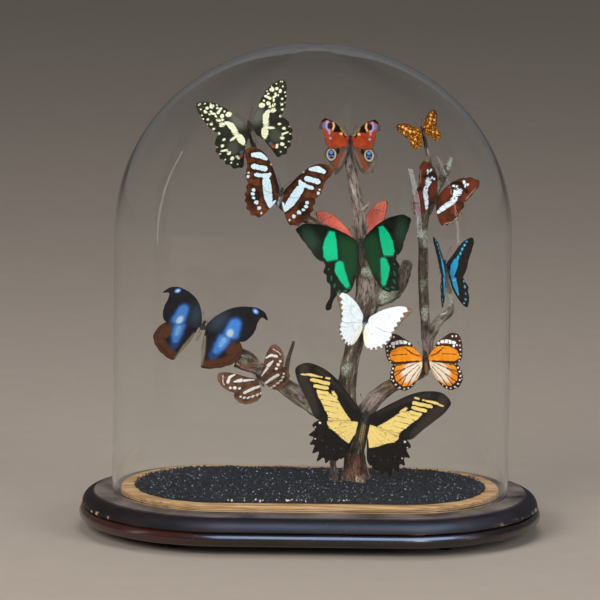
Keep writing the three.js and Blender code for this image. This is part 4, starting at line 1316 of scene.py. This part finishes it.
# %% Specimens low on the branch
BUTTERFLIES |= {
    "yellow": dict(
        at=(45, 11, 91), heading=-10, lean=4, turn=0, lift=(16, 16), sweep=(4, 0), size=1.04,
        body=31, thorax="#27303f", abdomen="#c9a952", antenna=16, abdomen_lines=True, scallop=(0.3, 0.9),
        fore=[(4, 4), (12, 12), (22, 20), (33, 28), (44, 33), (55, 35), (63, 33), (67, 28), (65, 22),
              (60, 15), (53, 7), (47, 0), (41, -7), (34, -8), (20, -5), (5, -2)],
        hind=[(5, 0), (18, -3), (32, -6), (38, -9), (41.5, -14), (39, -17), (42, -22), (38, -23.4), (39.6,
            -29.6),
              (35, -29.4), (35.4, -36.4), (30.6, -34.4), (29.4, -41.4), (25.4, -37.6), (22.6, -42), (19,
                  -38),
              (13, -37.4), (8, -32), (6, -22), (4, -10)],
        parted=0.45,
        ground=("#090807", "#15110f"), mottled=0.15, veins=("#15110e", 0.2, 0.75),
        layers=[
            ("#2f2824", 3.5, "fore", [streak((60, 30, 4), (59, 21, 4), (50, 9, 4), (42, -3, 3))]),
            ("#2a2522", 3, "fore", [streak((10, 8, 1), (30, 22, 1.4), (48, 31, 2))]),
            ("#e6c878", 0.35, "both", [
                patch(
                    (36.4, 15.6), (46, 15.2), (43, 10), (38, 5), (35, 1), (31, -3), (29.4, -9), (7, -9),
                    (12, -2.4), (19, 3.4), (26, 10.6), (31, 13)),
                streak((28.6, 12.6, 1.5), (32, 16.4, 1.2))]),
            ("#1a1410", 0.25, "fore", [
                streak((24, 13.4, 0.1), (43.6, 12.2, 0.32)), streak((21, 9, 0.1), (40.4, 8.4, 0.32)),
                streak((17, 4.6, 0.08), (37, 4.4, 0.3)), streak((12, 0.4, 0.05), (33.4, 0, 0.26)),
                streak((8, -2.6, 0.05), (30.6, -4.6, 0.24))]),
            ("#e6c878", 0.3, "fore", [
                streak((37.4, 26.2, 0.8), (40.4, 26, 0.7)),
                streak((44, 25.9, 0.6), (54, 25.7, 1.1), (61, 24.5, 0.6)),
                streak((37.4, 22, 1.5), (51.6, 22.2, 1.4)),
                streak((37.4, 18.2, 1.5), (47.6, 17.8, 1.5))]),
            ("#e6c878", 0.4, "hind", [
                patch(
                    (5, -3), (31, -4), (30, -9), (27.6, -12.4), (22, -14.6), (15, -18.6), (8, -21.6),
                    (4.6, -12))]),
            ("#2a2018", 0.3, "hind", [
                streak((10, -5, 0.06), (29, -8, 0.2)), streak((8, -6, 0.06), (25, -13, 0.2)),
                streak((7, -8, 0.06), (19, -16.6, 0.2)), streak((6, -9, 0.06), (12, -19.6, 0.2))]),
            ("#e8dcb4", 0.4, "hind", dots(
                (35.6, -10.4, 1.1, 0.8), (38.6, -14.6, 0.6), (36, -24, 0.6), (12, -36, 0.6))),
            ("#22344f", 1.2, "hind", dots(
                (13, -27, 0.9), (19, -29, 0.8), (25, -28, 0.8), (30, -24, 0.8))),
        ]),
    "blue": dict(
        at=(-91, 13, 168), heading=-20, lean=-18, turn=3, lift=(18, 8), sweep=(5, 6), size=1.05,
        body=22, thorax="#2c2a2a", abdomen="#b3a58c", antenna=11, scallop=(0.2, 0.4),
        fore=[(3, 4), (8, 13), (14, 20), (21, 25), (29, 28), (37, 29), (44, 27), (48, 21), (43, 22), (41,
            17),
              (41, 10), (39, 3), (34, -3), (26, -3), (15, -2), (4, -2)],
        hind=[(4, 0), (15, -1), (26, -2), (33, -5), (36, -12), (36, -19), (32, -25), (26, -30), (18, -34),
              (9, -36), (7, -28), (4, -16)],
        grainy=2.4, mottled=0.6,
        ground=("#08090e", "#12131b"), glitter=0.3, glitter_layer=4,
        layers=[
            # Painted sheen: a soft blue-grey patch at the root of the fore wing stands for the shine of its
            # scales.
            ("#2f3d4c", 7, "fore", [dot(11, 9, 5, 9, -20)]),
            ("#55301a", 2.6, "hind", [
                streak((33, -8, 3), (33, -18, 4.6), (25, -27, 5.4), (14, -32, 5.4)),
                dot(27, -12, 4, 7)]),
            ("#8a7a66", 1.6, "hind", [streak((4, -8, 0.9), (6.6, -22, 1.4), (8, -33, 0.8))]),
            ("#20130d", 0.8, "hind", [
                streak(
                    (36, -8, 0.5), (35.6, -20, 0.6), (29, -28.4, 0.6), (19, -33.6, 0.6),
                    (9, -35.6, 0.5)),
                streak((34, -7, 0.3), (33, -18.6, 0.35), (27, -25.6, 0.35), (17, -30.6, 0.35))]),
            ("#23487e", 2.4, "both", [
                streak((24, 11.4, 5.6), (23.4, 1, 7)),
                streak((19.2, -5, 6), (17.2, -13, 5.4), (15, -22, 3.8))]),
            ("#4a92ea", 2.2, "both", [
                streak((24, 10.6, 4.4), (23.4, 2.2, 5.6)),
                streak((19.4, -5, 4.6), (17.8, -12, 4.2), (16, -17.6, 2.6))]),
            ("#cfe8f4", 1.6, "both", [dot(22.4, 1.4, 2.6, 3.8)]),
            ("#86bdf0", 1.4, "hind", [streak((19.4, -6, 2), (18, -12, 1.6))]),
            ("#5b95dd", 0.9, "fore", [dot(36.6, 25.8, 2.6, 1.9, -30)]),
            ("#d7e6f5", 0.7, "fore", [dot(36.6, 25.8, 1.2, 0.8, -30)]),
        ]),
    "striped": dict(
        at=(-44, 18, 124), heading=33, lean=-12, turn=12, lift=(6, 18), sweep=(-6, -8), size=1,
        body=15, thorax="#2c211b", abdomen="#7a6a5a", antenna=9, scallop=(0.2, 0.5),
        fore=[(2, 1), (7, 8), (12, 16), (18, 23), (23, 26), (27, 22), (28, 15), (26, 8), (22, 3), (13, 2),
              (2, -2)],
        hind=[(2, 0), (13, 3), (22, 4), (26, -1), (25, -8), (21, -13), (14, -16), (8, -15), (4, -9)],
        wobble=1.0,
        mottled=0.8,
        ground=("#43281b", "#7a543d"),
        layers=[
            ("#7b5d49", 1.8, "both", [
                streak((24, 25, 0.8), (28, 18, 0.9), (26, 7, 0.8)),
                streak((26, -1, 1), (23, -11, 1.3), (12, -16, 1))]),
            ("#e6e3e0", 0.35, "fore", [
                streak((3.4, 1.4, 0.4), (10.6, 7, 1.1)),
                streak((12.4, 9, 1.6), (15, 10.4, 1.3), (18, 12, 0.4)),
                streak((13.4, 16.4, 0.7), (18, 17.4, 1.2), (22, 14.8, 1.2)), dot(20.4, 7, 1.5),
                dot(23.2, 9.4, 1.2), dot(17.6, 4, 1.2),
                streak((21.6, 22, 0.3), (25, 17.4, 0.4), (25.4, 15, 0.4))]),
            ("#e6e3e0", 0.35, "hind", [
                streak((3, -7, 1), (8, -4.8, 1.2), (16.6, -2.4, 1.3)),
                *dots(
                    (6.2, -12.4, 1.5, 0.9), (9.8, -11.4, 1.6, 1), (13.4, -10, 1.6, 1),
                    (16.8, -8.2, 1.6, 1), (19.6, -5.9, 1.4, 1), (21.4, -3, 1.1, 0.9))]),
        ]),
}
print("butterflies:", ", ".join(BUTTERFLIES))

# %% [markdown]
# ## The wing sheet
# A wing is a dry membrane a fraction of a millimetre thick, held flat by veins. The outline is
# smoothed, nicked between the veins as the real margin is, and filled with small triangles. Veins
# fan out from the root: round a closed cell first, then to the margin. They are raised as ridges
# on the sheet, and the sheet waves a little, as wings do when they dry.
# %% Veins and outline
SHEET_GRAIN = 0.72  # distance between points of the sheet
SHEET_HALF = 0.09  # half the thickness of the membrane
FAR_FROM_MARK = 30.0  # a distance past which a marking has no effect
ROOT = np.array([2.5, 0.0])


def smooth_outline(corners, step=0.6):
    p = np.array(corners, float)
    n = len(p)
    rows = []
    for i in range(n):
        a, b, c, d = p[i - 1], p[i], p[(i + 1) % n], p[(i + 2) % n]
        t = np.linspace(0, 1, max(2, round(np.linalg.norm(c - b) / step)), endpoint=False)[:, None]
        rows.append(curve_between(a, b, c, d, t))
    return np.concatenate(rows)


def margin_point(outline, angle):
    """The farthest place where a ray from the root meets the outline."""
    ray = np.array([math.cos(angle), math.sin(angle)])
    a = outline - ROOT
    b = np.roll(outline, -1, axis=0) - ROOT
    ca = ray[0] * a[:, 1] - ray[1] * a[:, 0]
    cb = ray[0] * b[:, 1] - ray[1] * b[:, 0]
    hit = (ca > 0) != (cb > 0)
    share = ca[hit] / (ca[hit] - cb[hit])
    reach = (a[hit] + (b[hit] - a[hit]) * share[:, None]) @ ray
    return ROOT + ray * (reach.max() if len(reach) else 5.0)


def vein_fan(outline, first, last, count, cell):
    """Vein lines: the cell's two edges and its end, then a fan to the margin."""
    angles = np.linspace(first, last, count)
    middle = (first + last) / 2
    starts, lines = [], []
    for a in angles:
        inner = middle + (a - middle) * 0.42
        starts.append(ROOT + (margin_point(outline, inner) - ROOT) * cell)
    for a, start in zip(angles, starts):
        end = margin_point(outline, a)
        bend = start + (start - ROOT) * 0.25
        t = np.linspace(0, 1, 9)[:, None]
        lines.append((1 - t) ** 2 * start + 2 * t * (1 - t) * bend + t ** 2 * end)
    lines.append(np.array(starts))
    for start, spread in ((starts[0], 0.12), (starts[-1], -0.12)):
        t = np.linspace(0, 1, 7)[:, None]
        across = np.array([-(start - ROOT)[1], (start - ROOT)[0]]) * spread
        lines.append(ROOT * (1 - t) + start * t + across * np.sin(math.pi * t))
    for a in (first + (first - last) * 0.16, last - (first - last) * 0.22):
        lines.append(np.array([ROOT, ROOT + (margin_point(outline, a) - ROOT) * 0.97]))
    return lines


def vein_distance(p, lines):
    best = np.full(len(p), 1e3)
    for line in lines:
        for a, b in zip(line, line[1:]):
            best = np.minimum(best, segment_distance(p, a, b)[0])
    return best


def nick(outline, first, last, count, depth):
    """Pull the margin in between the veins."""
    away = outline - ROOT
    angle = np.arctan2(away[:, 1], away[:, 0])
    place = (angle - last) / (first - last) * (count - 1)
    inside = (place > 0) & (place < count - 1)
    pull = depth * (0.5 - 0.5 * np.cos(2 * math.pi * place)) * inside
    return outline - away / np.linalg.norm(away, axis=1)[:, None] * pull[:, None]


# The fans, as angles from straight out, towards the head first.
FORE_FAN = (math.radians(56), math.radians(0), 8, 0.5)
HIND_FAN = (math.radians(-4), math.radians(-82), 7, 0.45)
print("vein lines in a fore wing:", len(vein_fan(smooth_outline(BUTTERFLIES["tiger"]["fore"]), *FORE_FAN)))


# %% One wing
def fill_outline(outline):
    """Triangles that fill an outline: points, faces."""
    low, high = outline.min(axis=0), outline.max(axis=0)
    rows = np.arange(low[1], high[1], SHEET_GRAIN * 0.87)
    grid = []
    for i, y in enumerate(rows):
        xs = np.arange(low[0] + (i % 2) * SHEET_GRAIN / 2, high[0], SHEET_GRAIN)
        grid.append(np.stack([xs, np.full(len(xs), y)], axis=-1))
    grid = np.concatenate(grid)
    grid = grid[inside_distance(grid, outline) > SHEET_GRAIN * 0.45]
    points = [Vector(p) for p in np.concatenate([outline, grid])]
    ring = list(range(len(outline)))
    flat, _, faces = delaunay_2d_cdt(points, [], [ring], 1, 1e-5)[:3]
    return np.array([tuple(p) for p in flat]), [tuple(f) for f in faces]


def wing_sheet(corners, fan, scallop, drop, seed):
    """One wing as a closed thin sheet in wing space, with what its finish needs at each point."""
    first, last, count, cell = fan
    outline = smooth_outline(corners)
    lines = vein_fan(outline, first, last, count, cell)
    outline = nick(outline, first, last, count, scallop)
    flat, faces = fill_outline(outline)
    vein = vein_distance(flat, lines)
    edge = np.maximum(inside_distance(flat, outline), 0)
    waves = np.array([noise.noise(Vector((x / 13, y / 13, seed))) + 0.4 * noise.noise(Vector((x / 5, y / 5,
        seed)))
                      for x, y in flat])
    span = np.abs(flat).max()
    away = np.linalg.norm(flat, axis=1) / span
    relief = drop + 0.55 * waves * np.clip(away * 1.6, 0, 1) - 1.3 * away ** 3
    ridge = np.exp(-(vein / 0.42) ** 2)
    top = np.column_stack([flat, relief + SHEET_HALF + 0.11 * ridge])
    low = np.column_stack([flat, relief - SHEET_HALF - 0.05 * ridge])
    n = len(flat)
    sides = set()
    for a, b, c in faces:
        for edge_pair in ((a, b), (b, c), (c, a)):
            if edge_pair[::-1] in sides:
                sides.remove(edge_pair[::-1])
            else:
                sides.add(edge_pair)
    solid = faces + [(c + n, b + n, a + n) for a, b, c in faces]
    solid += [(a, a + n, b + n, b) for a, b in sorted(sides)]
    rim = [tuple(sorted(p)) for a, b in sides for p in ((a, b), (a + n, b + n))]
    facts = {"edge": np.tile(edge, 2), "vein": np.tile(vein, 2), "under": np.repeat([0.0, 1.0], n)}
    return np.concatenate([top, low]), solid, facts, rim


print("points across one centimetre of wing:", round(10 / SHEET_GRAIN))


# %% One side of a butterfly
def placement(fly):
    """Where the body sits: it leans, tips and turns about the middle of the thorax."""
    return (Matrix.Translation(fly["at"]) @ Matrix.Rotation(math.radians(fly["turn"]), 4, "Z")
            @ Matrix.Rotation(math.radians(-fly["lean"]), 4, "X")
            @ Matrix.Rotation(math.radians(-fly["heading"]), 4, "Y"))


def moved(points, matrix):
    m = np.array(matrix)
    return points @ m[:3, :3].T + m[:3, 3]


def with_broken_tail(corners, stump):
    first, last = corners.index(stump[0]), corners.index(stump[-1])
    return corners[:first] + stump + corners[last + 1:]


def wing_side(name, fly, side, material):
    """Both wings of one side in one mesh; side is 1 for the right and -1 for the left."""
    index = 0 if side < 0 else 1
    hind_corners = fly["hind"]
    if side > 0 and "broken_tail" in fly:
        hind_corners = with_broken_tail(hind_corners, fly["broken_tail"])
    nick_fore, nick_hind = fly["scallop"]
    seed = list(BUTTERFLIES).index(name) * 2 + index
    sheets = [
        ("fore", wing_sheet(fly["fore"], FORE_FAN, nick_fore, 0.42, seed)),
        ("hind", wing_sheet(hind_corners, HIND_FAN, nick_hind, 0.0, seed)),
    ]
    hinge = (placement(fly) @ Matrix.Rotation(-side * math.radians(fly["lift"][index]), 4, "Z")
             @ Matrix.Rotation(math.pi / 2, 4, "X")
             @ Matrix.Rotation(side * math.radians(fly["sweep"][index]), 4, "Z"))
    points, faces, rim = [], [], []
    kept = {key: [] for key in ("edge", "vein", "under", "hind_wing", "wing_x", "wing_y")}
    marks = [[] for _ in fly["layers"]]
    base_index = 0
    for wing, (sheet, sheet_faces, facts, sheet_rim) in sheets:
        flat = sheet[:, :2]
        for key in ("edge", "vein", "under"):
            kept[key].append(facts[key])
        kept["hind_wing"].append(np.full(len(sheet), float(wing == "hind")))
        kept["wing_x"].append(flat[:, 0])
        kept["wing_y"].append(flat[:, 1])
        for (_, _, on, shapes), distances in zip(fly["layers"], marks):
            nearest = np.full(len(flat), FAR_FROM_MARK)
            if on in ("both", wing):
                for shape in shapes:
                    nearest = np.minimum(nearest, shape(flat))
            distances.append(nearest)
        placed = sheet * np.array([side * fly["size"], fly["size"], 1])
        points.append(moved(placed, hinge))
        order = 1 if side > 0 else -1
        faces += [tuple(base_index + i for i in f[::order]) for f in sheet_faces]
        rim += [(base_index + a, base_index + b) for a, b in sheet_rim]
        base_index += len(sheet)
    made = mesh_object(f"{name}_{'left' if side < 0 else 'right'}_wing_pair", np.concatenate(points), faces,
        material)
    data = made.data
    for key, values in kept.items():
        store(made, key, np.concatenate(values))
    for i, distances in enumerate(marks):
        store(made, f"mark_{i}", np.concatenate(distances))
    keys = {tuple(sorted(e.vertices)): e.index for e in data.edges}
    sharp = np.zeros(len(data.edges), bool)
    sharp[[keys[tuple(sorted(pair))] for pair in rim]] = True
    data.attributes.new("sharp_edge", "BOOLEAN", "EDGE").data.foreach_set("value", sharp)
    return made


print("middle of the tiger's thorax:", [round(v) for v in placement(BUTTERFLIES["tiger"]).translation])

# %% [markdown]
# ## The wing finish
# A wing's colour is dust: rows of tiny scales, each a little darker or lighter, and matt all
# over. The ground colour goes on first, then each layer of markings by its distance, its edge
# broken by scale noise. Veins darken the sheet where they run, the margin has a thin fringe,
# and the underside is paler and browner than the top.
# %% Dust a wing
def wing_finish(name, fly):
    wing = Finish(name + "_wings")
    x, y = wing.attribute("wing_x"), wing.attribute("wing_y")
    side = wing.attribute("hind_wing")
    flat = wing.node("ShaderNodeCombineXYZ", {}, {"X": x, "Y": y, "Z": side * 40})
    scales = wing.clouds(flat, 2.6, 2, 0.7)
    rows = wing.cells(wing.stretch(flat, (3.2, 2.2, 1)), 1.0)
    broad = wing.clouds(flat, 0.16, 4)
    uneven = wing.clouds(flat, 0.62, 2)
    speck = wing.clouds(flat, 1.1, 3, 0.8)
    vein, edge, under = wing.attribute("vein"), wing.attribute("edge"), wing.attribute("under")
    parting = wing.fade(vein, 0.5, 0.08) * fly.get("parted", 0.0) + fly.get("shrink", 0.0)
    low, high = fly["ground"]
    colour = wing.mix(wing.fade(broad, 0.3, 0.7), paint(low), paint(high))
    if "lattice" in fly:
        net, size = fly["lattice"]
        walls = wing.cells(flat, 1 / size, "DISTANCE_TO_EDGE")
        colour = wing.mix(wing.fade(walls + scales * 0.3, 0.46, 0.24) * 0.9, colour, paint(net))
    for i, (shade, soft, _, _) in enumerate(fly["layers"]):
        grains = 0.5 + soft * fly.get("grainy", 0.35)
        ragged = (scales * 0.4 + speck * 0.6 - 0.5) * grains
        away = wing.attribute(f"mark_{i}") + ragged + (broad - 0.5) * soft * 0.6
        if soft < 0.6:
            away = away + parting + (uneven - 0.5) * fly.get("wobble", 1.2)
        colour = wing.mix(wing.fade(away, soft * 0.7, -soft * 0.7), colour, paint(shade))
    vein_shade, vein_width, strength = fly.get("veins", ("#17110d", 0.16, 0.35))
    vein_mask = wing.fade(vein + scales * 0.15, vein_width * 1.7, vein_width * 0.6) * strength
    if fly.get("plain_fore_veins"):
        vein_mask = vein_mask * side
    colour = wing.mix(vein_mask, colour, paint(vein_shade))
    colour = wing.mix(wing.fade(edge, 0.55, 0.12) * 0.6, colour, paint(fly.get("fringe", "#221a14")))
    dusting = wing.mix(wing.fade(rows, 0.1, 0.65), (0.78, 0.78, 0.78, 1), (1.2, 1.2, 1.2, 1))
    colour = wing.mix(0.6, colour, dusting, "MULTIPLY")
    mottle = wing.mix(wing.fade(speck, 0.3, 0.7), (0.6, 0.6, 0.6, 1), (1.3, 1.3, 1.3, 1))
    colour = wing.mix(fly.get("mottled", 0.35), colour, mottle, "MULTIPLY")
    if not fly.get("face_down"):
        worn = wing.mix(0.42, colour, paint("#7d6a56"))
        colour = wing.mix(under, colour, worn)
    glint = fly.get("glitter", 0.0)
    values = {
        "Base Color": colour,
        "Roughness": scales * 0.25 + (0.5 if glint else 0.6),
        "Specular IOR Level": 0.1,
        "Normal": wing.bump(scales * 0.6 + rows * 0.5, 0.1, 0.6),
    }
    if glint:
        strong = wing.fade(wing.attribute(f"mark_{fly['glitter_layer']}"), 0.5, -0.5)
        values["Metallic"] = strong * glint
    return wing.solid(values)


print("glittering butterflies:", [name for name, fly in BUTTERFLIES.items() if "glitter" in fly])

# %% [markdown]
# ## The bodies
# A butterfly's body is a furry thorax between the wings, a thinner abdomen of ringed segments
# behind it, and a small head with two round eyes and two antennae that end in clubs. Six thin
# legs reach back to the branch. The hairs are single tapered needles, each a real piece of mesh,
# because hair particles are lost when a model is exported.
# %% Body pieces
class Pieces:
    """Collects small closed shapes into one mesh; kind tells the finish what each point is."""

    def __init__(self):
        self.points, self.faces, self.kinds = [], [], []
        self.count = 0

    def add(self, points, faces, kind):
        points = np.asarray(points, float)
        self.points.append(points)
        self.faces += [tuple(self.count + i for i in f) for f in faces]
        self.kinds.append(np.full(len(points), float(kind)))
        self.count += len(points)

    def tube(self, path, kind, sides):
        """A closed tube through (x, y, z, radius) rows."""
        path = np.asarray(path, float)
        across, ups, _ = carried_frames(path[:, :3])
        turns = np.arange(sides) / sides * 2 * math.pi
        rings = [c + r * (s * np.cos(turns)[:, None] + u * np.sin(turns)[:, None])
                 for c, r, s, u in zip(path[:, :3], path[:, 3], across, ups)]
        faces = rings_to_faces(len(path), sides) + end_caps(len(path), sides)
        self.add(np.concatenate(rings), faces, kind)

    def ball(self, centre, radii, kind, rows=10, sides=16):
        """An ellipsoid: across, up, along."""
        bands = np.linspace(0, math.pi, rows + 2)[1:-1]
        turns = np.arange(sides) / sides * 2 * math.pi
        rings = [np.stack([np.cos(turns) * math.sin(b), np.sin(turns) * math.sin(b),
                           np.full(sides, -math.cos(b))], axis=-1) for b in bands]
        points = np.vstack([np.concatenate(rings), [(0, 0, -1), (0, 0, 1)]]) * radii + centre
        faces = rings_to_faces(rows, sides)
        low, high, last = rows * sides, rows * sides + 1, (rows - 1) * sides
        for i in range(sides):
            j = (i + 1) % sides
            faces += [(j, i, low), (last + i, last + j, high)]
        self.add(points, faces, kind)


ABDOMEN, THORAX, HEAD, EYE, LIMB, HAIR = range(6)
SEGMENTS = 8
THORAX_HAIRS = 520
ABDOMEN_HAIRS = 200
print("kinds of body piece:", HAIR + 1)


# %% One body
def body_of(name, fly, material):
    """The whole body in its own space: x across, y towards the back of the insect, z to the head."""
    length = fly["body"]
    pick = random.Random(name)
    pieces = Pieces()
    places = np.linspace(-0.66, -0.06, 6 * SEGMENTS + 1)
    share = (places + 0.66) / 0.6
    rounded = np.sqrt(np.clip(1 - (1 - np.clip(share * 3.4, 0, 1)) ** 2, 0.02, 1))
    ringed = 1 - 0.1 * (0.5 + 0.5 * np.cos(2 * math.pi * SEGMENTS * share)) ** 4
    thick = 0.068 * length * rounded * ringed * (1 - 0.3 * share ** 6)
    droop = -0.05 * length * (1 - share) ** 2
    pieces.tube(np.column_stack([np.zeros(len(places)), droop, places * length, thick]), ABDOMEN, 20)
    pieces.ball((0, 0, 0.035 * length), (0.088 * length, 0.085 * length, 0.15 * length), THORAX, 14, 22)
    pieces.ball((0, 0, 0.2 * length), (0.058 * length, 0.055 * length, 0.055 * length), HEAD, 10, 18)
    for side in (-1, 1):
        pieces.ball((side * 0.047 * length, 0.004 * length, 0.222 * length),
                    (0.03 * length, 0.034 * length, 0.034 * length), EYE, 10, 14)
        palp = [(side * 0.014 * length, -0.02 * length, (0.235 + 0.028 * i) * length,
            (0.014 - 0.0036 * i) * length)
                for i in range(4)]
        pieces.tube(palp, HEAD, 8)
        reach = fly["antenna"]
        feeler = []
        for t in np.linspace(0, 1, 22):
            club = 0.26 * math.exp(-((t - 0.95) / 0.07) ** 2)
            feeler.append((side * (0.02 * length + reach * 0.46 * t ** 1.15),
                           (0.02 * length + reach * (0.16 * t + 0.05 * math.sin(3 * t))),
                           0.235 * length + reach * 0.88 * t, 0.13 + club))
        pieces.tube(feeler, LIMB, 7)
        for start, out, ahead in ((0.1, 0.15, 0.14), (0.04, 0.2, -0.02), (-0.03, 0.16, -0.2)):
            knee = (side * out * length, -0.12 * length, (start + ahead * 0.4) * length)
            foot = (side * (out - 0.02) * length, -0.3 * length, (start + ahead) * length)
            leg = [(side * 0.03 * length, -0.05 * length, start * length, 0.2), (*knee, 0.17), (*foot,
                0.11),
                   (foot[0] + side * 0.4, foot[1] - 0.5, foot[2] - 0.9, 0.08)]
            pieces.tube(smooth_path(leg, 1.1), LIMB, 6)
    for _ in range(THORAX_HAIRS):
        turn = pick.uniform(0, 2 * math.pi)
        z = pick.uniform(-0.95, 0.98)
        ring = math.sqrt(1 - z * z)
        out = np.array([ring * math.cos(turn), ring * math.sin(turn), z])
        root = out * (0.085 * length, 0.082 * length, 0.146 * length) + (0, 0, 0.035 * length)
        lie = np.array([out[0] * 0.7, out[1] * 0.7, -0.75 - 0.3 * pick.random()])
        needle = lie / np.linalg.norm(lie) * pick.uniform(0.045, 0.105) * length
        hair_at(pieces, root, needle, 0.0032 * length)
    for _ in range(ABDOMEN_HAIRS):
        turn, share_at = pick.uniform(0, 2 * math.pi), pick.uniform(0.05, 0.98)
        at = int(share_at * (len(places) - 1))
        out = np.array([math.cos(turn), math.sin(turn), 0])
        root = out * thick[at] * 0.97 + (0, droop[at], places[at] * length)
        needle = (out * 0.35 + (0, 0, -1)) * pick.uniform(0.02, 0.045) * length
        hair_at(pieces, root, needle, 0.0026 * length)
    own = np.concatenate(pieces.points)
    turned = own * (1, -1, 1)  # the insect's back faces -Y in its own space
    world = moved(turned, placement(fly))
    faces = [f[::-1] for f in pieces.faces]
    made = mesh_object(name + "_insect", world, faces, material)
    store(made, "kind", np.concatenate(pieces.kinds))
    store(made, "along", own[:, 2] / length)
    store(made, "across", own[:, 0] / length)
    return made


def hair_at(pieces, root, needle, thick):
    side = np.cross(needle, (0.31, 0.17, 0.93))
    side = side / np.linalg.norm(side) * thick
    other = np.cross(needle / np.linalg.norm(needle), side)
    corners = [root + side, root - 0.5 * side + 0.87 * other, root - 0.5 * side - 0.87 * other,
        root + needle]
    pieces.add(corners, [(0, 2, 1), (0, 1, 3), (1, 2, 3), (2, 0, 3)], HAIR)


print("hairs on one body:", THORAX_HAIRS + ABDOMEN_HAIRS)

# %% [markdown]
# The body's finish picks a colour by kind: fur on the thorax, rings on the abdomen, dark shining
# eyes, brown legs and antennae.
# %% Colour a body
def body_finish(name, fly):
    fur = Finish(name + "_body")
    kind, along, across = fur.attribute("kind"), fur.attribute("along"), fur.attribute("across")
    where = fur.place()
    tuft = fur.clouds(where, 900, 3)
    soft = fur.clouds(where, 260, 3)
    behind = fur.fade(along, -0.08, -0.14)
    coat = fur.mix(fur.fade(soft, 0.3, 0.7), paint("#0c0a09"), paint(fly["thorax"]))
    coat = fur.mix(fur.fade(tuft, 0.5, 0.75) * 0.35, coat, paint("#8b8578"))
    wave = fur.node("ShaderNodeMath", {"operation": "SINE"}, {0: along * (2 * math.pi * SEGMENTS / 0.6)})
    rings = fur.fade(wave, 0.4, 1.0)
    tail = fur.mix(fur.fade(tuft, 0.3, 0.7), paint(fly["abdomen"]), paint("#4a4038"))
    tail = fur.mix(rings * 0.5, tail, paint("#1d1713"))
    if fly.get("abdomen_lines"):
        across_now = abs(across)
        lines = fur.fade(across_now, 0.016, 0.022) * fur.fade(across_now, 0.04, 0.034)
        tail = fur.mix(lines, tail, paint("#141110"))
    colour = fur.mix(behind, coat, tail)
    limbs = fur.fade(kind, 3.4, 3.6) * fur.fade(kind, 4.6, 4.4)
    eyes = fur.fade(kind, 2.4, 2.6) * fur.fade(kind, 3.6, 3.4)
    colour = fur.mix(limbs, colour, fur.mix(soft, paint("#1a120d"), paint("#3d2a1c")))
    colour = fur.mix(eyes, colour, fur.mix(tuft, paint("#1d130e"), paint("#4b3526")))
    return fur.solid({
        "Base Color": colour,
        "Roughness": 0.85 - eyes * 0.6 - limbs * 0.3,
        "Sheen Weight": 0.35,
        "Sheen Roughness": 0.4,
        "Normal": fur.bump(tuft + rings * 0.6, 0.25, 0.8),
    })


print("bodies with dark lines:", [name for name, fly in BUTTERFLIES.items() if fly.get("abdomen_lines")])


# %% Set all the butterflies
for name, fly in BUTTERFLIES.items():
    dusted = wing_finish(name, fly)
    for side, word in ((-1, "left"), (1, "right")):
        pair = wing_side(name, fly, side, dusted)
        stand_for(pair, f"{name}_{word}_wings", name + "_wings")
    insect = body_of(name, fly, body_finish(name, fly))
    stand_for(insect, name + "_body", "insect_body")
    print(name, "wing faces", len(pair.data.polygons) * 2, "body faces", len(insect.data.polygons))

# %% [markdown]
# ## Measure and finish
# The box of everything visible is printed beside the box of the solid model.
# %% Print both boxes
sizes = {"cad": [list(map(float, c)) for c in cad_box],
    "visual": [list(map(float, c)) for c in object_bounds()]}
print("boxes in millimetres:", {k: [[round(v / MM, 1) for v in c] for c in b] for k, b in sizes.items()})
